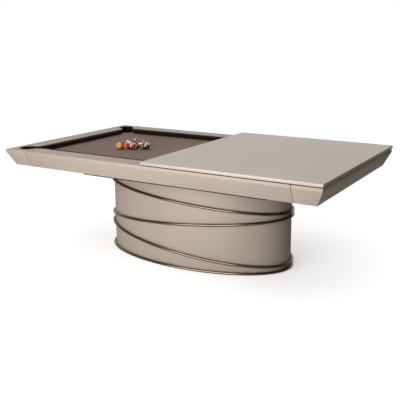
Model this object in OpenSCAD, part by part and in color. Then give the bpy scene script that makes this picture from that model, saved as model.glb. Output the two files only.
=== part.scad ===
// Pool table for an 8 ft playing field, with a half dining cover and an elliptical pedestal.
// Origin on the floor under the middle of the table, +X along the table, +Z up, millimetres.

/* [Playing field] */
// Length between the noses of the end cushions
play_l = 2235; // [1900:5:2700]
// Width between the noses of the long cushions
play_w = 1118; // [920:2:1350]

/* [Rails and aprons] */
// Height of the rail tops above the floor
rail_top = 836; // [760:1:900]
// Drop from the rail tops to the cloth, which is also the thickness of the rail boards
bed_drop = 40; // [36:0.5:48]
// Width from the cushion nose to the upright fascia
rail_w = 184; // [170:1:210]
// Height of the upright fascia
fascia_h = 22; // [10:1:30]
// Height of the whole apron, from the rail top to its lower edge
apron_h = 126; // [105:1:155]
// How far the apron slopes in at its lower edge
apron_in = 51; // [20:1:56]
// Thickness of the sloping apron
apron_t = 20; // [16:1:24]
// Side of the square corner blocks
corner_size = 205; // [190:1:240]
// Seam between a corner block and a rail
seam = 2.2; // [0.4:0.1:3]

/* [Cushions] */
// Width of a cushion, from its nose to the rail board
cushion_w = 38; // [32:1:46]
// Height of the nose above the cloth
nose_h = 36.5; // [34:0.5:38]
// Thickness of the rubber facings at the pockets
facing_t = 3; // [2:0.5:5]

/* [Slate and cloth] */
// Thickness of the slate
slate_t = 25; // [19:1:32]
// How far the slate runs on under the rails
slate_lip = 76; // [66:1:82]
// Thickness of the bed cloth
cloth_t = 0.8; // [0.5:0.1:1.2]

/* [Pockets] */
// Mouth of a corner pocket, between the cushion noses
corner_mouth = 117; // [110:1:125]
// Angle between the nose line and the facing at a corner pocket
corner_angle = 142; // [139:1:145]
// Radius of the hole in a corner block
corner_r = 60; // [58:1:66]
// Distance from the nose lines out to the middle of a corner hole
corner_set = 64; // [62:1:70]
// Mouth of a side pocket
side_mouth = 130; // [124:1:136]
// Angle between the nose line and the facing at a side pocket
side_angle = 104; // [101:1:107]
// Radius of the hole in a long rail
side_r = 59; // [54:1:60]
// Distance from the nose line out to the middle of a side hole
side_set = 75; // [70:1:76]
// Wall of the pocket liners and cups
liner_t = 3; // [2:0.5:4]
// Width of the lip on the rail top
lip_w = 6; // [5:1:12]
// Height of the lip
lip_h = 2; // [1:0.5:2.5]
// Clearance between the cups and the sloping apron
cup_clear = 3; // [1:0.5:6]
// Height of the cups' floor above the lower edge of the apron
cup_lift = 6; // [4:1:12]

/* [Frames] */
// Width of the timber beams
beam_w = 60; // [45:1:75]
// Height of the support frame above the pedestal
support_h = 80; // [60:1:100]
// How far the support frame runs past the pedestal, lengthways
support_past_l = 15; // [0:1:60]
// How far the support frame runs past the pedestal, widthways
support_past_w = 40; // [20:1:60]
// Distance of the long bed beams from the nose line, inwards
bed_beam_in = 9; // [5:1:30]

/* [Pedestal] */
// Length of the elliptical pedestal
pedestal_l = 1550; // [1240:10:1860]
// Width of the elliptical pedestal
pedestal_w = 800; // [650:10:940]
// Thickness of the shell
shell_t = 18; // [12:1:25]
// Thickness of the top plate, the spine and the ribs
board_t = 18; // [15:1:25]
// Thickness of the base plate
base_t = 24; // [18:1:30]
// Distance of the ribs from the middle
rib_x = 300; // [200:10:340]

/* [Rings] */
// Diameter of the bronze tube
ring_d = 21; // [14:0.5:26]
// Clearance between a ring and the shell
ring_gap = 0.8; // [0.6:0.1:2]
// Drop from the top of the shell to the left end of the upper ring
ring_drop = 71; // [60:1:90]
// Distance between the right ends of the upper and the middle ring
upper_gap = 38; // [30:1:60]
// Distance between the left ends of the middle and the lower ring
middle_gap = 66; // [30:1:90]
// Distance between the right ends of the lower ring and the floor ring
lower_gap = 39; // [30:1:60]
// Share of the rings' whole rise that the upper ring takes
upper_share = 0.29; // [0.2:0.01:0.4]
// Share of the rings' whole rise that the middle ring takes
middle_share = 0.316; // [0.2:0.001:0.4]
// Rise of the upper ring from the back to the front, over the pedestal's width
upper_cross = 32; // [0:1:40]

/* [Dining cover] */
// Thickness of the panel
cover_t = 22; // [18:1:30]
// Gap between the panel and the rail tops, filled by the felt strips
cover_gap = 6.5; // [3:0.5:8]
// How far the panel overhangs the rails
cover_over = 5; // [0:1:30]
// How far the panel runs past the middle of the table
cover_past = 10; // [0:1:40]
// Width of the battens below the panel
batten_w = 40; // [30:1:60]
// Height of the battens
batten_h = 22; // [15:1:26]
// Play between the battens and the cushion noses
batten_play = 5; // [3:1:10]
// How far the battens stop short of a pocket's mouth
batten_stop = 30; // [10:5:60]
// Width of the felt strips
felt_w = 24; // [16:1:28]
// How far the felt strips sit in from the rails' outer faces
felt_in = 4; // [2:1:8]

/* [Bolts and screws] */
// Radius of the rail bolts
rail_bolt_r = 5; // [4:0.5:6]
// Radius of the frame bolts
frame_bolt_r = 6; // [5:0.5:8]
// Radius of the slate screws
screw_r = 2.5; // [2:0.5:3]

/* [Levelling feet] */
// Distance of the feet from the middle, lengthways
foot_x = 500; // [400:10:520]
// Distance of the feet from the middle, widthways
foot_y = 160; // [100:10:180]
// Radius of a foot's pad
foot_r = 20; // [16:1:25]
// Radius of a foot's stem
stem_r = 6; // [5:0.5:8]
// Length of a foot's stem above its pad
stem_l = 60; // [50:1:80]
// How far a foot stands clear of the floor when it is wound in
foot_clear = 0.6; // [0.4:0.1:1]

/* [Balls] */
// Diameter of a ball
ball_d = 57.15; // [50.8:0.01:57.15]
// Place of the first ball of the rack, lengthways
rack_x = -459; // [-560:1:-420]
// Place of the first ball of the rack, widthways
rack_y = -37; // [-60:1:60]

/* [Hidden] */
$fn = 72;

// Colours of the finishes
lacquer = "#baac9e";
cover_lacquer = "#beb3a8";
bronze = "#4a3828";
cloth = "#786a60";
cushion_cloth = "#4b3d38";
slate = "#5c6064";
timber = "#2a2522";
birch = "#c9ab7c";
black_rubber = "#17161a";
steel = "#9a9da0";
felt = "#302c2a";

// Clearances shared by pieces of one body, and between bodies
fit = 0.2;
apart = 0.3;
// Overrun of a cut past the face it opens
over = 1;
// Drop from the cloth to the liners' shelves, and play of the slate round a liner
shelf_drop = 2;
notch_play = 1;

// Heights, from the rail tops down
bed_z = rail_top - bed_drop;
slate_top = bed_z - cloth_t;
slate_bottom = slate_top - slate_t;
frame_bottom = rail_top - apron_h;
pedestal_top = frame_bottom - support_h;
cup_bottom = frame_bottom + cup_lift;
shelf_z = bed_z - shelf_drop;

// Half sizes of the playing field, the slate and the rails' outer faces
field_x = play_l / 2;
field_y = play_w / 2;
slate_x = field_x + slate_lip;
slate_y = field_y + slate_lip;
outer_x = field_x + rail_w;
outer_y = field_y + rail_w;
joint_x = slate_x / 3;

// Ends of the rails, where the corner blocks start
rail_end_x = outer_x - corner_size;
rail_end_y = outer_y - corner_size;

// Pocket openings in plan: where the noses end, and where the facings meet the rail boards
corner_turn = 180 - corner_angle;
side_turn = 180 - side_angle;
corner_cut = corner_mouth / sqrt(2);
corner_back = corner_cut - cushion_w / tan(corner_turn);
facing_reach = (corner_set + corner_cut) * cos(corner_turn) + corner_set * sin(corner_turn);
side_reach = side_set - side_r / 2;

// Long bed beams and cross beams
bed_beam_short = 12;
bed_beam_y = field_y - bed_beam_in - beam_w / 2;
bed_beam_end = field_x - bed_beam_short;
support_x = pedestal_l / 2 + support_past_l;
support_y = pedestal_w / 2 + support_past_w;
end_beam_x = support_x - beam_w / 2;
frame_bolt_in = 150;
cross_xs = [-end_beam_x, -joint_x, 0, joint_x, end_beam_x];
bolt_y = pedestal_w / 2 - frame_bolt_in;

// Pedestal shell
sides = 144;
shell_a = pedestal_l / 2;
shell_b = pedestal_w / 2;
inner_a = shell_a - shell_t;
inner_b = shell_b - shell_t;
spine_gap = 8;
rib_gap = 2;

// Steps along a ring and sides of its tube
ring_turns = 96;
ring_sides = 8;

// Heights of the rings at their left and right ends: the tilted rings share the height between them
ring_floor_gap = 1;
floor_ring_z = ring_d / 2 + ring_floor_gap;
whole_rise = pedestal_top - ring_drop - upper_gap - middle_gap - lower_gap - floor_ring_z;
lower_right = floor_ring_z + lower_gap;
lower_left = lower_right + (1 - upper_share - middle_share) * whole_rise;
middle_left = lower_left + middle_gap;
middle_right = middle_left + middle_share * whole_rise;
upper_right = middle_right + upper_gap;
upper_left = upper_right + upper_share * whole_rise;

// Fastener proportions: radii of heads, washers and their recesses as multiples of the shank's
head_ratio = 1.9;
washer_ratio = 2.4;
recess_ratio = 2.6;
head_h = 7;
washer_h = 2.5;
nut_h = 10;
// How far a frame bolt's head lies below the slate, and how far its end runs past the nut
head_gap = 1;
bolt_past = 8;
// Depth of the rail bolts in the rails, and of their holes past their ends
rail_bolt_in = 25;
bolt_hole_past = 2;
// Places of the rail bolts across and along the rails
bolt_u = (cushion_w + slate_lip) / 2;
bolt_from_side = 100;
bolt_from_corner = 165;
long_bolt_xs = [side_mouth + bolt_from_side, field_x / 2, field_x - corner_cut - bolt_from_corner];
end_bolt_share = 0.57;
end_bolt_ys = [-field_y * end_bolt_share, 0, field_y * end_bolt_share];
// Slate screws, their distance from an edge, and the play of their holes in timber and in slate
screw_head = 4;
screw_l = 50;
screw_edge = 30;
screw_fit = 0.1;
screw_play = 0.5;

// Feet: the recess leaves play above and beside a pad, and the insert's bore a running clearance
foot_pad_h = 8;
recess_play = 1.4;
recess_side = 2;
recess_h = foot_clear + foot_pad_h + recess_play;
insert_wall = 3;
insert_r = stem_r + insert_wall;
insert_flange_w = 5;
insert_flange_h = 2;
running = 0.05;

// Section of a cushion: rounding of the nose, height of its face, and the undercut to the rubber's toe
nose_round = 3;
nose_crown = 1.6;
nose_face = 5;
nose_set = 2;
undercut_share = 0.42;
undercut_h = 6;
toe_share = 0.6;
toe_gap = 0.5;

// ---------- shared shapes ----------

// Copies of the back right quarter's shape at a chosen corner: sx and sy are 1 or -1
module at_corner(sx, sy) {
  mirror([sx < 0 ? 1 : 0, 0, 0])
    mirror([0, sy < 0 ? 1 : 0, 0])
      children();
}

module at_every_corner() {
  for (sx = [1, -1], sy = [1, -1]) at_corner(sx, sy) children();
}

module at_both_sides() {
  for (sy = [1, -1]) at_corner(1, sy) children();
}

// A profile of [across, height] points run along X from x0 to x1
module run_x(x0, x1, profile) {
  translate([x0, 0, 0])
    rotate([90, 0, 90])
      linear_extrude(x1 - x0)
        polygon(profile);
}

// The same profile run along Y, with its first coordinate along X
module run_y(y0, y1, profile) {
  translate([0, y1, 0])
    rotate([90, 0, 0])
      linear_extrude(y1 - y0)
        polygon(profile);
}

module block(x0, x1, y0, y1, z0, z1) {
  translate([x0, y0, z0])
    cube([x1 - x0, y1 - y0, z1 - z0]);
}

// How far out the sloping apron is at a height z, for its outer or inner face
function apron_out(z) = rail_w - apron_in * (rail_top - fascia_h - z) / (apron_h - fascia_h);
function apron_inner(z) = apron_out(z) - apron_t;

// Section of a rail board with its apron, from a nose line at f
function rail_section(f) = [
  [f + cushion_w, rail_top],
  [f + rail_w, rail_top],
  [f + rail_w, rail_top - fascia_h],
  [f + apron_out(frame_bottom), frame_bottom],
  [f + apron_inner(frame_bottom), frame_bottom],
  [f + apron_inner(bed_z), bed_z],
  [f + cushion_w, bed_z]
];

// Section of a cushion: top falling to the nose, then an undercut face
function cushion_section(f) = [
  [f, bed_z + nose_h],
  [f + nose_round, bed_z + nose_h + nose_crown],
  [f + cushion_w, rail_top],
  [f + cushion_w, bed_z + toe_gap],
  [f + cushion_w * toe_share, bed_z + 2 * toe_gap],
  [f + cushion_w * undercut_share, bed_z + undercut_h],
  [f + nose_set, bed_z + nose_h - nose_face]
];

// Point on a facing line of a corner pocket, a distance d from the nose of the long cushion
function facing_point(d) = [
  field_x - corner_cut + d * cos(corner_turn),
  field_y + d * sin(corner_turn)
];

// The same on the end cushion
function end_facing_point(d) = [
  field_x + d * sin(corner_turn),
  field_y - corner_cut + d * cos(corner_turn)
];

// Plan of a corner pocket's throat, widened by w measured along the nose lines
module corner_throat(w) {
  polygon([
    facing_point(0) - [w, 0],
    facing_point(facing_reach) - [w, 0],
    end_facing_point(facing_reach) - [0, w],
    end_facing_point(0) - [0, w]
  ]);
}

// Plan of a side pocket's throat, widened by w on each side
module side_throat(w) {
  half = side_mouth / 2 + w;
  narrow = side_reach / tan(side_turn);
  polygon([
    [-half, field_y],
    [half, field_y],
    [half - narrow, field_y + side_reach],
    [narrow - half, field_y + side_reach]
  ]);
}

module corner_centre() {
  translate([field_x + corner_set, field_y + corner_set, 0]) children();
}

module side_centre() {
  translate([0, field_y + side_set, 0]) children();
}

// Room for a pocket through a rail board: the hole and its throat
module corner_room(r, w, z0, z1) {
  translate([0, 0, z0]) linear_extrude(z1 - z0) corner_throat(w);
  corner_centre() translate([0, 0, z0]) cylinder(h = z1 - z0, r = r);
}

module side_room(r, w, z0, z1) {
  translate([0, 0, z0]) linear_extrude(z1 - z0) side_throat(w);
  side_centre() translate([0, 0, z0]) cylinder(h = z1 - z0, r = r);
}

// Rail bolts stand at these places, given for the back rail and the right rail
module at_long_bolts() {
  for (sx = [1, -1], x = long_bolt_xs) translate([sx * x, field_y + bolt_u, 0]) children();
}

module at_end_bolts() {
  for (y = end_bolt_ys) translate([field_x + bolt_u, y, 0]) children();
}

module rail_bolt_hole() {
  depth = slate_t + cloth_t + rail_bolt_in + bolt_hole_past;
  translate([0, 0, slate_bottom - over]) cylinder(h = depth + over, r = rail_bolt_r + fit, $fn = 24);
}

module rail_bolt_holes() {
  at_both_sides() at_long_bolts() rail_bolt_hole();
  for (sx = [1, -1]) at_corner(sx, 1) at_end_bolts() rail_bolt_hole();
}

// Slate screws stand beside the slate joints and at the slate's ends, over the long bed beams
screw_xs = [joint_x - screw_edge, joint_x + screw_edge, bed_beam_end - screw_edge];

module at_slate_screws() {
  for (sx = [1, -1], sy = [1, -1], x = screw_xs) translate([sx * x, sy * bed_beam_y, 0]) children();
}

module at_frame_bolts() {
  for (x = [-joint_x, 0, joint_x], sy = [1, -1]) translate([x, sy * bolt_y, 0]) children();
}

module frame_bolt_holes() {
  at_frame_bolts() {
    translate([0, 0, pedestal_top - board_t - over])
      cylinder(h = slate_bottom - pedestal_top + board_t + 2 * over, r = frame_bolt_r + fit, $fn = 24);
    translate([0, 0, slate_bottom - head_gap - head_h - washer_h])
      cylinder(h = head_gap + head_h + washer_h + over, r = recess_ratio * frame_bolt_r, $fn = 32);
  }
}

// ---------- pedestal ----------

function ellipse_point(a, b, t) = [a * cos(t), b * sin(t)];

// Half width of an ellipse at a distance x from its middle
function ellipse_y(a, b, x) = b * sqrt(1 - x * x / (a * a));

module ellipse(a, b) {
  polygon([for (i = [0 : sides - 1]) ellipse_point(a, b, 360 * i / sides)]);
}

// Front half of the shell, between two ellipses
module half_shell() {
  half = sides / 2;
  linear_extrude(pedestal_top)
    polygon([
      for (i = [0 : half]) ellipse_point(shell_a, shell_b, 180 + 180 * i / half),
      for (i = [half : -1 : 0]) ellipse_point(inner_a, inner_b, 180 + 180 * i / half)
    ]);
}

module pedestal_shell_front() {
  color(lacquer) half_shell();
}

module pedestal_shell_back() {
  color(lacquer) rotate([0, 0, 180]) half_shell();
}

module plate(z0, t) {
  translate([0, 0, z0]) linear_extrude(t) ellipse(inner_a - fit, inner_b - fit);
}

module pedestal_base_plate() {
  color(birch) difference() {
    plate(0, base_t);
    at_every_corner() translate([foot_x, foot_y, 0]) {
      translate([0, 0, -over]) cylinder(h = recess_h + over, r = foot_r + recess_side, $fn = 48);
      translate([0, 0, -over])
        cylinder(h = base_t + 2 * over, r = insert_r, $fn = 32);
    }
  }
}

module pedestal_top_plate() {
  color(birch) difference() {
    plate(pedestal_top - board_t, board_t);
    frame_bolt_holes();
  }
}

module pedestal_spine() {
  reach = inner_a - spine_gap;
  color(birch)
    block(-reach, reach, -board_t / 2, board_t / 2, base_t, pedestal_top - board_t);
}

module pedestal_ribs() {
  reach = ellipse_y(inner_a, inner_b, rib_x + board_t / 2) - rib_gap;
  color(birch) for (sx = [1, -1], sy = [1, -1]) at_corner(sx, sy)
    block(rib_x - board_t / 2, rib_x + board_t / 2, board_t / 2 + fit, reach,
          base_t, pedestal_top - board_t);
}

// Point on the line of a ring, a clear tube radius outside the shell, on a plane through z with two slopes
function ring_point(t, z, sx, sy) =
  let (
    nx = cos(t) / shell_a,
    ny = sin(t) / shell_b,
    out = (ring_d / 2 + ring_gap) / norm([nx, ny]),
    x = shell_a * cos(t) + out * nx,
    y = shell_b * sin(t) + out * ny
  ) [x, y, z + sx * x + sy * y];

// Cross product of unit directions along and up gives the way out of the shell
function ring_circle(p, d, n) =
  let (
    along = d / norm(d),
    outward = cross(along, [0, 0, 1]) / norm(cross(along, [0, 0, 1])),
    up = cross(outward, along)
  ) [for (k = [0 : n - 1]) p + ring_d / 2 * (cos(360 * k / n) * outward + sin(360 * k / n) * up)];

// A closed round tube round the pedestal, between two end heights and with a rise across
module ring(left, right, across) {
  turns = ring_turns;
  n = ring_sides;
  sx = (right - left) / pedestal_l;
  sy = -across / pedestal_w;
  path = [for (i = [0 : turns - 1]) ring_point(360 * i / turns, (left + right) / 2, sx, sy)];
  points = [
    for (i = [0 : turns - 1])
      each ring_circle(path[i], path[(i + 1) % turns] - path[(i + turns - 1) % turns], n)
  ];
  faces = [
    for (i = [0 : turns - 1], k = [0 : n - 1])
      let (
        j = (i + 1) % turns,
        m = (k + 1) % n
      ) each [
        [i * n + k, i * n + m, j * n + m],
        [i * n + k, j * n + m, j * n + k]
      ]
  ];
  color(bronze) polyhedron(points, faces);
}

module ring_base() { ring(floor_ring_z, floor_ring_z, 0); }

module ring_lower() { ring(lower_left, lower_right, 0); }

module ring_middle() { ring(middle_left, middle_right, 0); }

module ring_upper() { ring(upper_left, upper_right, upper_cross); }

// ---------- frames ----------

module support_beam() {
  color(timber) difference() {
    block(-support_x, support_x, -support_y, -support_y + beam_w, pedestal_top, frame_bottom);
    frame_bolt_holes();
  }
}

module support_beam_front() { support_beam(); }

module support_beam_back() { mirror([0, 1, 0]) support_beam(); }

module support_cross_beams() {
  reach = support_y - beam_w;
  color(timber) difference() {
    for (x = cross_xs)
      block(x - beam_w / 2, x + beam_w / 2, -reach, reach, pedestal_top, frame_bottom);
    frame_bolt_holes();
  }
}

module bed_beam() {
  color(timber) difference() {
    block(-bed_beam_end, bed_beam_end, bed_beam_y - beam_w / 2, bed_beam_y + beam_w / 2,
          frame_bottom, slate_bottom);
    at_slate_screws()
      translate([0, 0, slate_top - screw_l - over])
        cylinder(h = screw_l + 2 * over, r = screw_r + screw_fit, $fn = 16);
  }
}

module bed_beam_front() { mirror([0, 1, 0]) bed_beam(); }

module bed_beam_back() { bed_beam(); }

module bed_end_beams() {
  reach = bed_beam_y - beam_w / 2;
  color(timber) for (sx = [1, -1]) at_corner(sx, 1)
    block(bed_beam_end - beam_w, bed_beam_end, -reach, reach, frame_bottom, slate_bottom);
}

module bed_cross_beams() {
  reach = bed_beam_y - beam_w / 2;
  color(timber) difference() {
    for (x = cross_xs)
      block(x - beam_w / 2, x + beam_w / 2, -reach, reach, frame_bottom, slate_bottom);
    frame_bolt_holes();
  }
}

module frame_bolts() {
  head_z = slate_bottom - head_gap - head_h;
  washer_z = pedestal_top - board_t - washer_h;
  low_z = washer_z - nut_h - bolt_past;
  head_r = head_ratio * frame_bolt_r;
  washer_r = washer_ratio * frame_bolt_r;
  color(steel) at_frame_bolts() {
    translate([0, 0, low_z]) cylinder(h = head_z - low_z, r = frame_bolt_r, $fn = 24);
    translate([0, 0, head_z]) cylinder(h = head_h, r = head_r, $fn = 6);
    translate([0, 0, head_z - washer_h]) cylinder(h = washer_h, r = washer_r, $fn = 32);
    translate([0, 0, washer_z]) cylinder(h = washer_h, r = washer_r, $fn = 32);
    translate([0, 0, washer_z - nut_h]) cylinder(h = nut_h, r = head_r, $fn = 6);
  }
}

// ---------- slate and cloth ----------

// Holes for the pockets through the slate and the cloth
module slate_notches(z0, z1) {
  at_every_corner() corner_centre() translate([0, 0, z0]) cylinder(h = z1 - z0, r = corner_r + notch_play);
  at_both_sides() side_centre() translate([0, 0, z0]) cylinder(h = z1 - z0, r = side_r + notch_play);
}

// A slate between two joints, in the length of the bed
module slate_piece(x0, x1) {
  color(slate) difference() {
    block(x0, x1, -slate_y, slate_y, slate_bottom, slate_top);
    slate_notches(slate_bottom - over, slate_top + over);
    rail_bolt_holes();
    at_slate_screws() {
      translate([0, 0, slate_bottom - over])
        cylinder(h = slate_t + 2 * over, r = screw_r + screw_play, $fn = 16);
      translate([0, 0, slate_top - screw_head - screw_play])
        cylinder(h = screw_head + screw_play + over, r = 2 * screw_r + screw_play, $fn = 24);
    }
  }
}

module slate_left() { slate_piece(-slate_x, -joint_x - fit / 2); }

module slate_centre() { slate_piece(-joint_x + fit / 2, joint_x - fit / 2); }

module slate_right() { slate_piece(joint_x + fit / 2, slate_x); }

module slate_screws() {
  color(steel) at_slate_screws() {
    translate([0, 0, slate_top - screw_l]) cylinder(h = screw_l - screw_head, r = screw_r, $fn = 16);
    translate([0, 0, slate_top - screw_head]) cylinder(h = screw_head, r = 2 * screw_r, $fn = 24);
  }
}

module bed_cloth() {
  color(cloth) difference() {
    block(-slate_x, slate_x, -slate_y, slate_y, slate_top, bed_z);
    slate_notches(slate_top - over, bed_z + over);
    rail_bolt_holes();
  }
}

// ---------- rails ----------

// Back rail, between two corner blocks and cut for the side pocket and both corner throats
module long_rail() {
  reach = rail_end_x - seam / 2;
  color(lacquer) difference() {
    run_x(-reach, reach, rail_section(field_y));
    side_room(side_r, 0, bed_z - over, rail_top + over);
    for (sx = [1, -1]) at_corner(sx, 1) corner_room(corner_r, 0, bed_z - over, rail_top + over);
    rail_bolt_holes();
  }
}

// Right rail
module end_rail() {
  reach = rail_end_y - seam / 2;
  color(lacquer) difference() {
    run_y(-reach, reach, rail_section(field_x));
    for (sy = [1, -1]) at_corner(1, sy) corner_room(corner_r, 0, bed_z - over, rail_top + over);
    rail_bolt_holes();
  }
}

module rail_front() { mirror([0, 1, 0]) long_rail(); }

module rail_back() { long_rail(); }

module rail_left() { mirror([1, 0, 0]) end_rail(); }

module rail_right() { end_rail(); }

// Solid outline of the apron towards the outside, and the room under the rail boards, in section
function outer_section(f, start) = [
  [start, rail_top],
  [f + rail_w, rail_top],
  [f + rail_w, rail_top - fascia_h],
  [f + apron_out(frame_bottom), frame_bottom],
  [start, frame_bottom]
];

function inner_section(f, start) = [
  [start - over, bed_z],
  [f + apron_inner(bed_z), bed_z],
  [f + apron_inner(frame_bottom - over), frame_bottom - over],
  [start - over, frame_bottom - over]
];

// Back right corner block: both aprons meet in a mitre round the pocket
module corner_block() {
  start_x = rail_end_x + seam / 2;
  start_y = rail_end_y + seam / 2;
  color(lacquer) difference() {
    intersection() {
      run_x(start_x, outer_x, outer_section(field_y, start_y));
      run_y(start_y, outer_y, outer_section(field_x, start_x));
    }
    intersection() {
      run_x(start_x - over, outer_x, inner_section(field_y, start_y));
      run_y(start_y - over, outer_y, inner_section(field_x, start_x));
    }
    corner_room(corner_r, 0, bed_z - over, rail_top + over);
  }
}

module corner_front_left() { at_corner(-1, -1) corner_block(); }

module corner_front_right() { at_corner(1, -1) corner_block(); }

module corner_back_left() { at_corner(-1, 1) corner_block(); }

module corner_back_right() { at_corner(1, 1) corner_block(); }

// A bolt from below, with its washer against the slate
module rail_bolt() {
  translate([0, 0, slate_bottom - washer_h])
    cylinder(h = slate_t + cloth_t + washer_h + rail_bolt_in, r = rail_bolt_r, $fn = 24);
  translate([0, 0, slate_bottom - washer_h])
    cylinder(h = washer_h, r = washer_ratio * rail_bolt_r, $fn = 32);
  translate([0, 0, slate_bottom - washer_h - head_h])
    cylinder(h = head_h, r = head_ratio * rail_bolt_r, $fn = 6);
}

module rail_bolts() {
  color(steel) {
    at_both_sides() at_long_bolts() rail_bolt();
    for (sx = [1, -1]) at_corner(sx, 1) at_end_bolts() rail_bolt();
  }
}

// ---------- cushions ----------

// Widening of a throat that leaves room for a facing of the stated thickness
corner_widen = facing_t / sin(corner_turn);
side_widen = facing_t / sin(side_turn);

// Half of the back rail's rubber, before its ends are cut for the pockets
module long_cushion_bar() {
  run_x(side_mouth / 2 - cushion_w / tan(side_turn), field_x - corner_back, cushion_section(field_y));
}

module end_cushion_bar() {
  reach = field_y - corner_back;
  run_y(-reach, reach, cushion_section(field_x));
}

// Wedge beyond a corner facing, from the nose line out past the rail board
module corner_wedge(w) {
  translate([0, 0, bed_z - over]) linear_extrude(bed_drop + 2 * over) corner_throat(w);
}

module side_wedge(w) {
  translate([0, 0, bed_z - over]) linear_extrude(bed_drop + 2 * over) side_throat(w);
}

module long_cushion() {
  color(cushion_cloth) difference() {
    long_cushion_bar();
    corner_wedge(corner_widen);
    side_wedge(side_widen);
  }
}

module end_cushion() {
  color(cushion_cloth) difference() {
    end_cushion_bar();
    for (sy = [1, -1]) at_corner(1, sy) corner_wedge(corner_widen);
  }
}

module cushion_front_left() { at_corner(-1, -1) long_cushion(); }

module cushion_front_right() { at_corner(1, -1) long_cushion(); }

module cushion_back_left() { at_corner(-1, 1) long_cushion(); }

module cushion_back_right() { at_corner(1, 1) long_cushion(); }

module cushion_end_left() { mirror([1, 0, 0]) end_cushion(); }

module cushion_end_right() { end_cushion(); }

// The thin sheets left between a cushion's cut end and the throat
module cushion_facings() {
  color(black_rubber) {
    at_every_corner() difference() {
      intersection() {
        long_cushion_bar();
        union() {
          corner_wedge(corner_widen);
          side_wedge(side_widen);
        }
      }
      corner_wedge(0);
      side_wedge(0);
    }
    at_every_corner() difference() {
      intersection() {
        end_cushion_bar();
        corner_wedge(corner_widen);
      }
      corner_wedge(0);
    }
  }
}

// ---------- pockets ----------

// A liner: wall below the bed all round, and above it a wall and lip where there is rail board
module liner(r) {
  cylinder_r = r - fit;
  difference() {
    union() {
      translate([0, 0, slate_bottom]) cylinder(h = rail_top + lip_h - slate_bottom, r = cylinder_r);
      translate([0, 0, rail_top]) cylinder(h = lip_h, r = r + lip_w);
    }
    translate([0, 0, slate_bottom - over])
      cylinder(h = rail_top + lip_h - slate_bottom + 2 * over, r = cylinder_r - liner_t);
  }
}

module corner_liner() {
  color(black_rubber) difference() {
    corner_centre() liner(corner_r);
    translate([0, 0, shelf_z]) linear_extrude(rail_top + lip_h + over - shelf_z) corner_throat(0);
  }
}

module side_liner() {
  color(black_rubber) difference() {
    side_centre() liner(side_r);
    translate([0, 0, shelf_z]) linear_extrude(rail_top + lip_h + over - shelf_z) side_throat(0);
    block(-side_mouth, side_mouth, field_y - over, field_y + cushion_w + fit,
          rail_top - over, rail_top + lip_h + over);
  }
}

// A cup: a tapered bowl with a flat floor, hung from the liner and clear of the sloping apron
module cup(r, set) {
  depth = slate_bottom - cup_bottom;
  rim_r = r - fit;
  floor_r = min(rim_r, apron_inner(cup_bottom) - set - cup_clear);
  translate([0, 0, cup_bottom]) difference() {
    cylinder(h = depth, r1 = floor_r, r2 = rim_r);
    translate([0, 0, liner_t])
      cylinder(h = depth - liner_t + 0.01, r1 = floor_r - liner_t, r2 = rim_r - liner_t);
  }
}

module corner_cup() { color(black_rubber) corner_centre() cup(corner_r, corner_set); }

module side_cup() { color(black_rubber) side_centre() cup(side_r, side_set); }

module pocket_liner_front_left() { at_corner(-1, -1) corner_liner(); }

module pocket_liner_front_middle() { at_corner(1, -1) side_liner(); }

module pocket_liner_front_right() { at_corner(1, -1) corner_liner(); }

module pocket_liner_back_left() { at_corner(-1, 1) corner_liner(); }

module pocket_liner_back_middle() { side_liner(); }

module pocket_liner_back_right() { corner_liner(); }

module pocket_cup_front_left() { at_corner(-1, -1) corner_cup(); }

module pocket_cup_front_middle() { at_corner(1, -1) side_cup(); }

module pocket_cup_front_right() { at_corner(1, -1) corner_cup(); }

module pocket_cup_back_left() { at_corner(-1, 1) corner_cup(); }

module pocket_cup_back_middle() { side_cup(); }

module pocket_cup_back_right() { corner_cup(); }

// ---------- dining cover ----------

cover_z = rail_top + cover_gap;
cover_x1 = outer_x + cover_over;
cover_y1 = outer_y + cover_over;

module cover_panel() {
  color(cover_lacquer) block(-cover_past, cover_x1, -cover_y1, cover_y1, cover_z, cover_z + cover_t);
}

// Battens that drop inside the cushion noses, and stop short of every pocket mouth
module cover_battens() {
  x0 = side_mouth / 2 + batten_stop;
  x1 = field_x - batten_play;
  y1 = field_y - batten_play;
  long_end = field_x - corner_cut - batten_stop;
  end_reach = field_y - corner_cut - batten_stop;
  z0 = cover_z - batten_h;
  color(birch) {
    for (sy = [1, -1]) at_corner(1, sy) block(x0, long_end, y1 - batten_w, y1, z0, cover_z);
    block(x0, x0 + batten_w, fit - y1 + batten_w, y1 - batten_w - fit, z0, cover_z);
    block(x1 - batten_w, x1, -end_reach, end_reach, z0, cover_z);
  }
}

// Felt strips along the rails' outer edges, outside the pockets' lips, up to the corner blocks
module cover_felt() {
  x0 = felt_in - cover_past;
  edge_x = outer_x - felt_in;
  edge_y = outer_y - felt_in;
  color(felt) {
    at_both_sides() block(x0, rail_end_x, edge_y - felt_w, edge_y, rail_top + apart, cover_z);
    block(edge_x - felt_w, edge_x, -rail_end_y, rail_end_y, rail_top + apart, cover_z);
  }
}

// ---------- balls ----------

module ball_set() {
  pitch = ball_d + apart;
  row = pitch * sqrt(3) / 2;
  color("gold") for (i = [0 : 4], j = [0 : i])
    translate([rack_x - i * row, rack_y + (j - i / 2) * pitch, bed_z + apart + ball_d / 2])
      sphere(d = ball_d);
}

// ---------- levelling feet ----------

module foot() {
  translate([foot_x, foot_y, foot_clear]) {
    cylinder(h = foot_pad_h, r = foot_r, $fn = 48);
    translate([0, 0, foot_pad_h]) cylinder(h = stem_l, r = stem_r, $fn = 32);
  }
}

module foot_front_left() { color(steel) at_corner(-1, -1) foot(); }

module foot_front_right() { color(steel) at_corner(1, -1) foot(); }

module foot_back_left() { color(steel) at_corner(-1, 1) foot(); }

module foot_back_right() { color(steel) at_corner(1, 1) foot(); }

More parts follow.
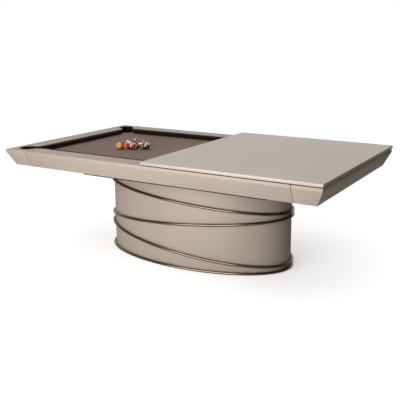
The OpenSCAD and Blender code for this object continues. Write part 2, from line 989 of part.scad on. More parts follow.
// Flanged inserts that the stems turn in
module foot_inserts() {
  color(steel) at_every_corner() translate([foot_x, foot_y, 0]) difference() {
    union() {
      translate([0, 0, recess_h]) cylinder(h = base_t - recess_h, r = insert_r, $fn = 32);
      translate([0, 0, base_t]) cylinder(h = insert_flange_h, r = insert_r + insert_flange_w, $fn = 32);
    }
    translate([0, 0, -over])
      cylinder(h = base_t + insert_flange_h + 2 * over, r = stem_r + running, $fn = 32);
  }
}

pedestal_shell_front();
pedestal_shell_back();
pedestal_base_plate();
pedestal_top_plate();
pedestal_spine();
pedestal_ribs();
ring_base();
ring_lower();
ring_middle();
ring_upper();
support_beam_front();
support_beam_back();
support_cross_beams();
bed_beam_front();
bed_beam_back();
bed_end_beams();
bed_cross_beams();
frame_bolts();
slate_left();
slate_centre();
slate_right();
slate_screws();
bed_cloth();
rail_front();
rail_back();
rail_left();
rail_right();
rail_bolts();
corner_front_left();
corner_front_right();
corner_back_left();
corner_back_right();
cushion_front_left();
cushion_front_right();
cushion_back_left();
cushion_back_right();
cushion_end_left();
cushion_end_right();
cushion_facings();
pocket_liner_front_left();
pocket_liner_front_middle();
pocket_liner_front_right();
pocket_liner_back_left();
pocket_liner_back_middle();
pocket_liner_back_right();
pocket_cup_front_left();
pocket_cup_front_middle();
pocket_cup_front_right();
pocket_cup_back_left();
pocket_cup_back_middle();
pocket_cup_back_right();
cover_panel();
cover_battens();
cover_felt();
ball_set();
foot_front_left();
foot_front_right();
foot_back_left();
foot_back_right();
foot_inserts();
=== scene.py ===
"""Pool table with a half dining cover: its finished looks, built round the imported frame.

Each sub-assembly is a class that reads its sizes from the frame, builds its meshes with numpy
and dresses them. Lengths are metres, in the row frame: +X along the table, +Z up.
"""

import logging
import math
from collections.abc import Callable
from dataclasses import dataclass, field
from enum import Enum
from functools import lru_cache, partial

import bmesh
import bpy
import numpy as np
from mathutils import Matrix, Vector


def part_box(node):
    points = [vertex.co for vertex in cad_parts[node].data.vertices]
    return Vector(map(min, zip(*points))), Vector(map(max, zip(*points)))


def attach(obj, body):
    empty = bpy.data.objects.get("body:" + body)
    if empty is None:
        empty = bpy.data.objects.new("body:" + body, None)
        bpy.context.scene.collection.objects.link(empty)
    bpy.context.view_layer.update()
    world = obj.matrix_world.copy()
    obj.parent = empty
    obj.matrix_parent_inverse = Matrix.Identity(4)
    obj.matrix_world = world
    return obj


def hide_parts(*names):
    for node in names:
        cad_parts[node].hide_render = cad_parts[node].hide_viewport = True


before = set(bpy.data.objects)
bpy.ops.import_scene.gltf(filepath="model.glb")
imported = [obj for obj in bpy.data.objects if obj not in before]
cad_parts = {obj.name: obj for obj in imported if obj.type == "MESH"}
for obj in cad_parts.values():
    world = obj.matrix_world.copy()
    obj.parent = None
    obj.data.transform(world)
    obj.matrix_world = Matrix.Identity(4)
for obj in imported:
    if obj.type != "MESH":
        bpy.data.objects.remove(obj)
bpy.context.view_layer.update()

LOG = logging.getLogger("pool_table")
MM = 0.001
# Points closer together than this are one point
MERGE = 0.01 * MM
# A point this close to a plane lies on it
NEAR = 0.1 * MM
# Edges that turn more than this, in degrees, stay crisp
CRISP = 35.0
TABLE = "table"
SIDES = ("front", "back")
ENDS = ("left", "right")
PLACES = ("left", "middle", "right")
POCKETS = [f"{side}_{place}" for side in SIDES for place in PLACES]
POLES = np.array([[0.0, 0.0, 1.0], [0.0, 0.0, -1.0]])
Array = np.ndarray


# ---------- measuring the frame ----------


def corners(node: str) -> tuple[Array, Array]:
    """Lowest and highest corner of a CAD node.

    Args:
        node: the node's name.

    Returns:
        Two arrays of x, y and z.
    """
    low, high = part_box(node)
    return np.array(low), np.array(high)


def points_of(node: str) -> Array:
    """All the corner points of a CAD node's mesh.

    Args:
        node: the node's name.

    Returns:
        An array of shape (points, 3).
    """
    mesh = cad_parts[node].data
    flat = np.zeros(len(mesh.vertices) * 3, np.float32)
    mesh.vertices.foreach_get("co", flat)
    return flat.reshape(-1, 3).astype(float)


# ---------- numpy surfaces ----------


def unit(vectors: Array) -> Array:
    """Vectors of length one along the last axis."""
    return vectors / np.linalg.norm(vectors, axis=-1, keepdims=True)


def rounded(outline: list[tuple[float, float]], radii: float | list[float], steps: int = 5) -> Array:
    """A closed outline whose corners are arcs.

    With h half of a corner's inner angle, the arc of radius r touches both sides r / tan(h)
    from the corner, and its centre lies r / sin(h) along the bisector. Points on the arc are
    blended between its two ends by sines of their shares of the turn.

    Args:
        outline: the corners, in order.
        radii: the radius at each corner, or one for all.
        steps: segments in each arc.

    Returns:
        An array of shape (corners * (steps + 1), 2).
    """
    p = np.asarray(outline, float)
    r = np.broadcast_to(np.asarray(radii, float), len(p))[:, None]
    before = unit(np.roll(p, 1, 0) - p)
    after = unit(np.roll(p, -1, 0) - p)
    half = 0.5 * np.arccos(np.clip((before * after).sum(1, keepdims=True), -1, 1))
    centre = (p + unit(before + after) * r / np.sin(half))[:, None]
    start = (p + before * r / np.tan(half))[:, None] - centre
    end = (p + after * r / np.tan(half))[:, None] - centre
    turn = (math.pi - 2 * half)[:, None]
    t = np.linspace(0, 1, steps + 1)[None, :, None]
    arc = (np.sin((1 - t) * turn) * start + np.sin(t * turn) * end) / np.sin(turn)
    return (centre + arc).reshape(-1, 2)


def travelled(points: Array) -> Array:
    """Distance covered along a row of points, starting at 0, with one value for each point."""
    steps = np.linalg.norm(np.diff(points, axis=0), axis=1)
    return np.concatenate([[0.0], np.cumsum(steps)])


@dataclass
class Surface:
    """Points and faces of one shell, with a UV map in metres along and round it."""

    points: Array
    quads: Array
    quad_uv: Array
    caps: list[list[int]] = field(default_factory=list)

    def outward(self) -> "Surface":
        """The same shell with its faces pointing out: a negative volume turns every face round.

        Returns:
            The shell.
        """
        p = self.points[self.quads]
        halves = np.concatenate([p[:, [0, 1, 2]], p[:, [0, 2, 3]]])
        for cap in self.caps:
            fan = [[cap[0], cap[i], cap[i + 1]] for i in range(1, len(cap) - 1)]
            halves = np.concatenate([halves, self.points[np.array(fan)]])
        volume = np.einsum("ij,ij->i", halves[:, 0], np.cross(halves[:, 1], halves[:, 2])).sum()
        if volume < 0:
            self.quads = self.quads[:, ::-1]
            self.quad_uv = self.quad_uv[:, ::-1]
            self.caps = [cap[::-1] for cap in self.caps]
        return self


def loft(rings: Array, closed: bool = False) -> Surface:
    """A shell through a row of closed rings, capped at both ends unless it closes on itself.

    Point (i, j) is point j of ring i; each quad joins neighbours i, i + 1 and j, j + 1. The UV
    map holds the distance travelled along the rings' middles, or along one side where the
    middles stand still, and round the widest ring.

    Args:
        rings: an array of shape (rings, points, 3).
        closed: whether the last ring joins the first one.

    Returns:
        The shell, with its faces pointing out.
    """
    count, sides = rings.shape[:2]
    spans = count if closed else count - 1
    i, j = np.meshgrid(np.arange(spans), np.arange(sides), indexing="ij")
    i, j = i.ravel(), j.ravel()
    i_next, j_next = (i + 1) % count, (j + 1) % sides
    quads = np.stack([i * sides + j, i * sides + j_next, i_next * sides + j_next, i_next * sides + j], 1)
    middles = rings.mean(1)
    along = travelled(np.concatenate([middles, middles[:1]]) if closed else middles)
    if along[-1] < MM:
        along = travelled(rings[:, 0])
    widest = rings[np.linalg.norm(rings - middles[:, None], axis=2).sum(1).argmax()]
    around = travelled(np.concatenate([widest, widest[:1]]))
    u = np.stack([along[i], along[i], along[i + 1], along[i + 1]], 1)
    v = np.stack([around[j], around[j + 1], around[j + 1], around[j]], 1)
    caps = [] if closed else [list(range(sides))[::-1], list(range((count - 1) * sides, count * sides))]
    return Surface(rings.reshape(-1, 3), quads, np.stack([u, v], 2), caps).outward()


def build(name: str, shells: list[Surface], sharp: float = CRISP) -> bpy.types.Object:
    """A mesh object of one or more shells, smooth but for its sharp edges.

    Args:
        name: the piece's name.
        shells: the shells that it is made of.
        sharp: edges that turn more than this, in degrees, stay crisp.

    Returns:
        The object, at the origin, linked to the scene.
    """
    points: list[Array] = []
    faces: list[list[int]] = []
    uvs: list[Array] = []
    start = 0
    for shell in shells:
        points.append(shell.points)
        faces += (shell.quads + start).tolist()
        uvs.append(shell.quad_uv.reshape(-1, 2))
        for cap in shell.caps:
            faces.append([start + k for k in cap])
            uvs.append(shell.points[cap][:, :2])
        start += len(shell.points)
    mesh = bpy.data.meshes.new(name)
    mesh.from_pydata(np.concatenate(points).tolist(), [], faces)
    layer = mesh.uv_layers.new(name="surface")
    layer.data.foreach_set("uv", np.concatenate(uvs).astype(np.float32).ravel())
    mesh.polygons.foreach_set("use_smooth", np.ones(len(faces), bool))
    mesh.set_sharp_from_angle(angle=math.radians(sharp))
    mesh.update()
    made = bpy.data.objects.new(name, mesh)
    bpy.context.scene.collection.objects.link(made)
    return made


def softened(name: str, node: str, radius: float, shortest: float = 4 * MM, flat: float = 0.6,
             turned: float = 20.0) -> bpy.types.Object:
    """A merged copy of a CAD node with its arrises rounded.

    Args:
        name: the piece's name.
        node: the CAD node that is copied.
        radius: the rounding of the arrises.
        shortest: edges shorter than this, such as those round a bolt hole, stay as they are.
        flat: triangles that turn less than this, in degrees, are joined to one face.
        turned: an edge that turns more than this, in degrees, is an arris.

    Returns:
        The object, at the origin.
    """
    shape = bmesh.new()
    shape.from_mesh(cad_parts[node].data)
    bmesh.ops.remove_doubles(shape, verts=shape.verts, dist=MERGE)
    bmesh.ops.dissolve_limit(shape, angle_limit=math.radians(flat), verts=shape.verts, edges=shape.edges)
    arrises = [
        edge for edge in shape.edges
        if edge.is_manifold and edge.calc_face_angle(0) > math.radians(turned)
        and edge.calc_length() > shortest
    ]
    bmesh.ops.bevel(
        shape, geom=arrises, offset=radius, segments=3, profile=0.5,
        affect="EDGES", clamp_overlap=True, loop_slide=True,
    )
    mesh = bpy.data.meshes.new(name)
    shape.to_mesh(mesh)
    shape.free()
    mesh.polygons.foreach_set("use_smooth", np.ones(len(mesh.polygons), bool))
    mesh.set_sharp_from_angle(angle=math.radians(CRISP))
    made = bpy.data.objects.new(name, mesh)
    bpy.context.scene.collection.objects.link(made)
    return made


# ---------- finishes ----------

# Where a noise pattern's values mostly lie, and where two noises multiplied mostly lie
NOISE_SPAN = (0.3, 0.7)
PRODUCT_SPAN = (0.12, 0.42)
# A wave texture of scale 1 turns through this many radians in a metre
WAVE_TURN = 20.0
# The sockets of a mix node that take its two numbers, and those that take its two colours
NUMBER_A, NUMBER_B = 2, 3
COLOUR_A, COLOUR_B = 6, 7
WHITE = "#ffffff"


def linear(code: str, alpha: float = 1.0) -> tuple[float, float, float, float]:
    """A colour written as sRGB hex, turned to linear light.

    Args:
        code: such as "#b8ab9d".
        alpha: the fourth value.

    Returns:
        Red, green, blue and alpha.
    """
    channels = [int(code[k:k + 2], 16) / 255 for k in (1, 3, 5)]
    lit = [c / 12.92 if c <= 0.04045 else ((c + 0.055) / 1.055) ** 2.4 for c in channels]
    return (lit[0], lit[1], lit[2], alpha)


def per_metre(size_mm: float) -> float:
    """The scale of a pattern whose features are this many millimetres across."""
    return 1 / (size_mm * MM)


def wave_scale(crest_mm: float) -> float:
    """The scale of a wave texture whose crests are this many millimetres apart."""
    return per_metre(crest_mm) * 2 * math.pi / WAVE_TURN


def add(tree: bpy.types.NodeTree, kind: str, inputs: dict | None = None,
        **settings: object) -> bpy.types.Node:
    """Adds a node.

    Args:
        tree: the node tree.
        kind: the node's type.
        inputs: for each input, its value or the socket that feeds it.
        settings: the node's own properties.

    Returns:
        The node.
    """
    made = tree.nodes.new(kind)
    for name, value in settings.items():
        setattr(made, name, value)
    for name, value in (inputs or {}).items():
        if isinstance(value, bpy.types.NodeSocket):
            tree.links.new(value, made.inputs[name])
        else:
            made.inputs[name].default_value = value
    return made


class Coordinates(Enum):
    """What a pattern follows: the object as a whole, or the surface's own UV map in metres."""

    OBJECT = "Object"
    SURFACE = "UV"


@dataclass(frozen=True)
class Finish:
    """A procedural finish: two close tones in a pattern, a roughness range and a fine relief."""

    name: str
    slot: str
    tone: str
    deep: str
    rough: tuple[float, float] = (0.4, 0.5)
    metallic: float = 0.0
    coat: float = 0.0
    coat_roughness: float = 0.1
    sheen: float = 0.0
    specular: float = 0.5
    patch_mm: float = 60.0
    grain_mm: float = 2.0
    stretch: tuple[float, float, float] = (1.0, 1.0, 1.0)
    relief: float = 0.1
    relief_mm: float = 0.2
    follows: Coordinates = Coordinates.OBJECT

    def pattern(self, tree: bpy.types.NodeTree, place: bpy.types.NodeSocket) -> bpy.types.NodeSocket:
        """The fine pattern, from 0 to 1.

        Args:
            tree: the material's nodes.
            place: the coordinates.

        Returns:
            The socket that gives it.
        """
        grain = add(tree, "ShaderNodeTexNoise",
                    {"Vector": place, "Scale": per_metre(self.grain_mm), "Detail": 3.0, "Roughness": 0.6})
        return grain.outputs["Fac"]

    def colour(self, tree: bpy.types.NodeTree, place: bpy.types.NodeSocket,
               fine: bpy.types.NodeSocket) -> bpy.types.NodeSocket:
        """The colour: the deep tone shows through in broad patches and in the fine pattern.

        Args:
            tree: the material's nodes.
            place: the coordinates.
            fine: the fine pattern.

        Returns:
            The socket that gives it.
        """
        patches = add(tree, "ShaderNodeTexNoise",
                      {"Vector": place, "Scale": per_metre(self.patch_mm), "Detail": 2.0, "Roughness": 0.5})
        both = add(tree, "ShaderNodeMath", {0: patches.outputs["Fac"], 1: fine}, operation="MULTIPLY")
        spread = add(tree, "ShaderNodeMapRange",
                     {"Value": both.outputs[0], "From Min": PRODUCT_SPAN[0], "From Max": PRODUCT_SPAN[1]},
                     clamp=True)
        mix = add(tree, "ShaderNodeMix",
                  {"Factor": spread.outputs[0], COLOUR_A: linear(self.deep), COLOUR_B: linear(self.tone)},
                  data_type="RGBA")
        return mix.outputs[2]

    def material(self) -> bpy.types.Material:
        """The Blender material, made once for each finish."""
        return made_material(self)

    def fill(self, made: bpy.types.Material) -> None:
        """Builds the nodes of the material.

        Args:
            made: the empty material.
        """
        tree = made.node_tree
        tree.nodes.clear()
        shader = add(tree, "ShaderNodeBsdfPrincipled", {
            "Metallic": self.metallic, "Coat Weight": self.coat, "Coat Roughness": self.coat_roughness,
            "Sheen Weight": self.sheen, "Specular IOR Level": self.specular})
        output = add(tree, "ShaderNodeOutputMaterial", {"Surface": shader.outputs["BSDF"]})
        output.target = "ALL"
        source = add(tree, "ShaderNodeTexCoord")
        place = add(tree, "ShaderNodeMapping",
                    {"Vector": source.outputs[self.follows.value], "Scale": self.stretch}).outputs[0]
        fine = self.pattern(tree, place)
        tree.links.new(self.colour(tree, place, fine), shader.inputs["Base Color"])
        rough = add(tree, "ShaderNodeMapRange",
                    {"Value": fine, "From Min": NOISE_SPAN[0], "From Max": NOISE_SPAN[1],
                     "To Min": self.rough[0], "To Max": self.rough[1]}, clamp=True)
        tree.links.new(rough.outputs[0], shader.inputs["Roughness"])
        bump = add(tree, "ShaderNodeBump",
                   {"Height": fine, "Strength": self.relief, "Distance": self.relief_mm * MM})
        tree.links.new(bump.outputs[0], shader.inputs["Normal"])


@lru_cache(maxsize=None)
def made_material(finish: Finish) -> bpy.types.Material:
    """The material of a finish, made at its first use.

    Args:
        finish: the finish.

    Returns:
        The material.
    """
    made = bpy.data.materials.new(finish.name)
    made.use_nodes = True
    finish.fill(made)
    return made


@dataclass(frozen=True)
class WovenCloth(Finish):
    """A worsted cloth: two sets of threads that cross, broken up by the nap.

    The threads are 0.5 mm apart, too fine to show, so they are drawn as faint bands 19 mm apart.
    """

    thread_mm: float = 18.85

    def pattern(self, tree: bpy.types.NodeTree, place: bpy.types.NodeSocket) -> bpy.types.NodeSocket:
        """Warp and weft bands, mixed with the nap's noise.

        Args:
            tree: the material's nodes.
            place: the coordinates.

        Returns:
            The socket that gives it.
        """
        bands = [
            add(tree, "ShaderNodeTexWave",
                {"Vector": place, "Scale": wave_scale(self.thread_mm), "Distortion": 0.6,
                 "Detail": 1.0, "Detail Scale": 2.0},
                wave_type="BANDS", bands_direction=direction, wave_profile="SIN").outputs["Fac"]
            for direction in ("X", "Y")
        ]
        crossed = add(tree, "ShaderNodeMath", {0: bands[0], 1: bands[1]}, operation="MULTIPLY")
        nap = add(tree, "ShaderNodeTexNoise",
                  {"Vector": place, "Scale": per_metre(self.grain_mm), "Detail": 4.0, "Roughness": 0.7})
        mixed = add(tree, "ShaderNodeMix",
                    {"Factor": 0.7, NUMBER_A: crossed.outputs[0], NUMBER_B: nap.outputs["Fac"]},
                    data_type="FLOAT")
        return mixed.outputs[0]


@dataclass(frozen=True)
class GrainedLeather(Finish):
    """A pebbled hide: rounded cells with dark creases between them."""

    def pattern(self, tree: bpy.types.NodeTree, place: bpy.types.NodeSocket) -> bpy.types.NodeSocket:
        """Distance to the cells' edges, so creases are low and pebbles high.

        Args:
            tree: the material's nodes.
            place: the coordinates.

        Returns:
            The socket that gives it.
        """
        cells = add(tree, "ShaderNodeTexVoronoi",
                    {"Vector": place, "Scale": per_metre(self.grain_mm), "Randomness": 1.0},
                    feature="DISTANCE_TO_EDGE")
        spread = add(tree, "ShaderNodeMapRange",
                     {"Value": cells.outputs["Distance"], "From Min": 0.0, "From Max": 0.25}, clamp=True)
        return spread.outputs[0]


@dataclass(frozen=True)
class Plywood(Finish):
    """Birch plywood: plies in the thickness, and a long figure along the face.

    The plies are 1.5 mm thick, too thin to show, so they are drawn as bands 19 mm apart.
    """

    ply_mm: float = 18.85
    figure_stretch: tuple[float, float, float] = (0.06, 1.0, 1.0)

    def pattern(self, tree: bpy.types.NodeTree, place: bpy.types.NodeSocket) -> bpy.types.NodeSocket:
        """Plies as bands up the height, mixed with the stretched figure.

        Args:
            tree: the material's nodes.
            place: the coordinates.

        Returns:
            The socket that gives it.
        """
        plies = add(tree, "ShaderNodeTexWave",
                    {"Vector": place, "Scale": wave_scale(self.ply_mm), "Distortion": 0.2},
                    wave_type="BANDS", bands_direction="Z", wave_profile="SIN")
        long = add(tree, "ShaderNodeMapping", {"Vector": place, "Scale": self.figure_stretch})
        figure = add(tree, "ShaderNodeTexNoise",
                     {"Vector": long.outputs[0], "Scale": per_metre(self.grain_mm), "Detail": 4.0})
        mixed = add(tree, "ShaderNodeMix",
                    {"Factor": 0.6, NUMBER_A: plies.outputs["Fac"], NUMBER_B: figure.outputs["Fac"]},
                    data_type="FLOAT")
        return mixed.outputs[0]


@dataclass(frozen=True)
class BallResin(Finish):
    """Polished phenolic resin: each ball is one colour, or ivory with a band, with two round spots.

    The mesh carries the ball's own directions and its paint as attributes.
    """

    band_height: float = 0.56
    spot_radius: float = 0.27

    def colour(self, tree: bpy.types.NodeTree, place: bpy.types.NodeSocket,
               fine: bpy.types.NodeSocket) -> bpy.types.NodeSocket:
        """Paint inside the band or all over, ivory elsewhere and in the spots.

        Args:
            tree: the material's nodes.
            place: the coordinates, not used here.
            fine: the fine pattern, not used here.

        Returns:
            The socket that gives it.
        """
        paint = add(tree, "ShaderNodeAttribute", attribute_name="paint").outputs["Color"]
        striped = add(tree, "ShaderNodeAttribute", attribute_name="striped").outputs["Fac"]
        own = add(tree, "ShaderNodeAttribute", attribute_name="own_direction").outputs["Vector"]
        parts = add(tree, "ShaderNodeSeparateXYZ", {0: own})
        height = add(tree, "ShaderNodeMath", {0: parts.outputs["Z"]}, operation="ABSOLUTE").outputs[0]
        outside = add(tree, "ShaderNodeMath", {0: height, 1: self.band_height}, operation="GREATER_THAN")
        ivory = add(tree, "ShaderNodeMath", {0: outside.outputs[0], 1: striped}, operation="MULTIPLY")
        flat = add(tree, "ShaderNodeCombineXYZ", {0: parts.outputs["Y"], 1: parts.outputs["Z"]})
        away = add(tree, "ShaderNodeVectorMath", {0: flat.outputs[0]}, operation="LENGTH")
        spot = add(tree, "ShaderNodeMath", {0: away.outputs["Value"], 1: self.spot_radius},
                   operation="LESS_THAN")
        white = add(tree, "ShaderNodeMath", {0: ivory.outputs[0], 1: spot.outputs[0]}, operation="MAXIMUM")
        mix = add(tree, "ShaderNodeMix",
                  {"Factor": white.outputs[0], COLOUR_A: paint, COLOUR_B: linear(self.tone)},
                  data_type="RGBA")
        return mix.outputs[2]


# Sprayed satin lacquer with a fine metallic flake: a soft sheen that turns with the light
CHAMPAGNE = Finish("champagne_satin_lacquer", "champagne_lacquer", "#b2a699", "#aea295",
                   rough=(0.44, 0.5), metallic=0.1, coat=0.06, coat_roughness=0.3, specular=0.3,
                   patch_mm=420, grain_mm=1.6, relief=0.05, relief_mm=0.05)
# The same lacquer on the cover's broad panel, one step paler
COVER_LACQUER = Finish("cover_satin_lacquer", "cover_lacquer", "#bcb2a7", "#b8aea3",
                       rough=(0.32, 0.38), metallic=0.1, coat=0.25, coat_roughness=0.2,
                       patch_mm=500, grain_mm=1.6, relief=0.04, relief_mm=0.05)
# Black balancing laminate under the cover, painted shade: its near-black stands for the shade in the gap
# round the cover; flat, with a fine grit
GAP_SHADE_BACKER = Finish("black_backing_painted_shade", "cover_lacquer", "#1c1816", "#141110", rough=(0.75, 0.85),
                specular=0.2, patch_mm=60, grain_mm=2.0, relief=0.1, relief_mm=0.05)
# Drawn bronze tube, chemically darkened and clear lacquered: nearly black at its sides, with a
# broad bright line along its crown
BRONZE = Finish("darkened_bronze", "dark_bronze", "#8f7a6a", "#776254", rough=(0.17, 0.22), metallic=1.0,
                coat=0.3, coat_roughness=0.12, patch_mm=160, grain_mm=4.0, relief=0.02, relief_mm=0.02)
# Worsted bed cloth: matt, with a faint crossed thread
BED_CLOTH = WovenCloth("worsted_bed_cloth", "bed_cloth", "#8a766a", "#847065", rough=(0.88, 0.96),
                       sheen=0.05, specular=0.2, patch_mm=400, grain_mm=1.5, relief=0.35, relief_mm=0.3)
# Cloth drawn over the cushions' rubber, much darker than the bed's: painted shade of the cushions' undercut
# faces, which only the bed cloth lights
SHADED_CUSHION_CLOTH = WovenCloth("worsted_cushion_cloth_painted_shade", "cushion_cloth", "#30211f", "#2a1c1b",
                           rough=(0.85, 0.95), sheen=0.03, specular=0.2, patch_mm=80, grain_mm=1.5,
                           relief=0.35, relief_mm=0.3, follows=Coordinates.SURFACE)
# Moulded black rubber facings: dull, faintly mottled. The same black paints the pockets' throats, and the
# seams between rails and blocks as painted shade
RUBBER_AND_SEAM_SHADE = Finish("moulded_black_rubber_and_seam_shade", "black_rubber", "#151415", "#0e0d0e", rough=(0.7, 0.8),
                specular=0.25, patch_mm=20, grain_mm=1.5, relief=0.2, relief_mm=0.1)
# Black pocket leather: pebbles 1 mm across, drawn twice as coarse, with a dull waxed shine on top
LEATHER = GrainedLeather("black_pocket_leather", "black_leather", "#0d0b0c", "#060505",
                         rough=(0.7, 0.55), specular=0.3, patch_mm=30, grain_mm=2.2,
                         relief=0.4, relief_mm=0.3, follows=Coordinates.SURFACE)
# Raw birch plywood of the plates, ribs and battens: pale, with darker glue lines
BIRCH = Plywood("raw_birch_plywood", "birch_plywood", "#d8bd92", "#b98f5f", rough=(0.55, 0.7),
                patch_mm=70, grain_mm=4.0, relief=0.15, relief_mm=0.2)
# Beech beams under a black stain: the grain runs along the beam and shows as brown streaks
BEECH = Finish("black_stained_beech", "black_stained_beech", "#2a2320", "#171311", rough=(0.55, 0.7),
               specular=0.3, patch_mm=40, grain_mm=5.0, stretch=(0.08, 1.0, 1.0), relief=0.2,
               relief_mm=0.2)
# Honed slate: blue grey, with soft clouds and a dry surface
SLATE = Finish("honed_slate", "slate", "#666b70", "#4d5256", rough=(0.6, 0.75), patch_mm=140,
               grain_mm=6.0, relief=0.25, relief_mm=0.3)
# Bright zinc plate on the bolts, screws and feet: greyish mirror with cloudy spangles
ZINC = Finish("zinc_plated_steel", "zinc_plated_steel", "#b4b6b6", "#93969a", rough=(0.28, 0.42),
              metallic=1.0, patch_mm=8, grain_mm=1.5, relief=0.1, relief_mm=0.05)
# Pressed wool felt strips under the cover: matt and furry, made near-black as painted shade for the gap
# round the cover
FELT_WITH_GAP_SHADE = Finish("pressed_felt_with_gap_shade", "felt_strip", "#171312", "#0e0c0b", rough=(0.9, 0.98), sheen=0.03,
              patch_mm=12, grain_mm=1.2, relief=0.6, relief_mm=0.6)
# Cast and polished phenolic resin balls: a deep gloss over clear colours
RESIN = BallResin("polished_phenolic_resin", "ball_resin", "#efe6d2", "#efe6d2", rough=(0.06, 0.09),
                  coat=0.6, coat_roughness=0.03, relief=0.02, relief_mm=0.02)
# Matt seamless paper of the studio floor: white, with a barely visible mottle
PAPER = Finish("matt_paper_floor", "", "#f6f5f4", "#f3f2f1", rough=(0.9, 0.95), specular=0.1,
               patch_mm=900, grain_mm=6.0, relief=0.02)


def dress(node: str, finish: Finish) -> None:
    """Gives a carried CAD node its finish.

    Args:
        node: the CAD node's name.
        finish: its finish.
    """
    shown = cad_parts[node]
    shown.data.materials.clear()
    shown.data.materials.append(finish.material())
    LOG.info("%s: carried from the frame, in %s", node, finish.name)


def hand_over(piece: bpy.types.Object, finish: Finish, body: str, *nodes: str) -> bpy.types.Object:
    """Finishes a new piece, hangs it on its body and hides the CAD nodes that it replaces.

    Args:
        piece: the new piece, in place.
        finish: its finish.
        body: the CAD body that it moves with.
        nodes: the CAD nodes that it replaces.

    Returns:
        The piece.
    """
    piece.data.materials.clear()
    piece.data.materials.append(finish.material())
    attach(piece, body)
    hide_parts(*nodes)
    LOG.info("%s: made, in %s", piece.name, finish.name)
    return piece


def line(piece: bpy.types.Object, finish: Finish, chosen: Callable[[Array, Array], Array]) -> None:
    """Gives some faces of a finished piece a second finish, such as a lining or a backing; here it lays
    painted shade on seams and on the cover's underside, and black on the pockets' throats.

    Args:
        piece: the piece.
        finish: the second finish.
        chosen: from the faces' middles and normals, says which ones take it.
    """
    mesh = piece.data
    flat = np.zeros((2, len(mesh.polygons) * 3), np.float32)
    mesh.polygons.foreach_get("center", flat[0])
    mesh.polygons.foreach_get("normal", flat[1])
    middles, normals = flat.reshape(2, -1, 3).astype(float)
    mesh.materials.append(finish.material())
    mesh.polygons.foreach_set("material_index", chosen(middles, normals).astype(np.int32))
    LOG.info("%s: lined, in %s", piece.name, finish.name)


# ---------- sub-assemblies ----------


@dataclass
class Rim:
    """The rail boards with their sloping aprons, and the four mitred corner blocks."""

    arris: float = 1.3 * MM
    # How far a pocket's throat reaches from the edge of its hole
    throat_reach: float = 40 * MM
    # A face is upright when its normal climbs less than the first, square to an axis past the second
    upright: float = 0.5
    square: float = 0.9

    def black_throats_and_shaded_seams(self, node: str, middles: Array, normals: Array) -> Array:
        """Which faces are painted black: those in a pocket's throat, and those in a seam, where the black is
        painted shade in the gap.

        A throat's faces are upright, near the pocket, and look at it. A seam's faces lie on a
        side of the piece's box that isn't an outer side of the table.

        Args:
            node: the rail or block.
            middles: the faces' middles.
            normals: the faces' normals.

        Returns:
            True for each face that is black.
        """
        found = np.zeros(len(middles), bool)
        for pocket in POCKETS:
            low, high = corners(f"pocket_cup_{pocket}")
            reach = (high[0] - low[0]) / 2 + self.throat_reach
            away = middles[:, :2] - (low + high)[:2] / 2
            near = np.linalg.norm(away, axis=1) < reach
            towards = (away * normals[:, :2]).sum(1) < 0
            found |= near & towards & (np.abs(normals[:, 2]) < self.upright)
        outer = corners("corner_back_right")[1]
        for axis in (0, 1):
            for edge in (bound[axis] for bound in corners(node)):
                if abs(edge) < outer[axis] - self.arris:
                    in_seam = np.abs(middles[:, axis] - edge) < NEAR
                    # A seam's faces take painted shade
                    found |= in_seam & (np.abs(normals[:, axis]) > self.square)
        return found

    def build(self) -> None:
        """Makes each rail and block as a softened copy, so that the seams read as fine lines, and paints
        black the pockets' throats and the seams, whose black is painted shade.
        """
        nodes = [f"rail_{side}" for side in (*SIDES, *ENDS)]
        nodes += [f"corner_{side}_{end}" for side in SIDES for end in ENDS]
        for node in nodes:
            piece = hand_over(softened(f"{node}_lacquered", node, self.arris), CHAMPAGNE, TABLE, node)
            # Black on the throats' faces, and painted shade on the seams' faces
            line(piece, RUBBER_AND_SEAM_SHADE, partial(self.black_throats_and_shaded_seams, node))
        dress("rail_bolts", ZINC)


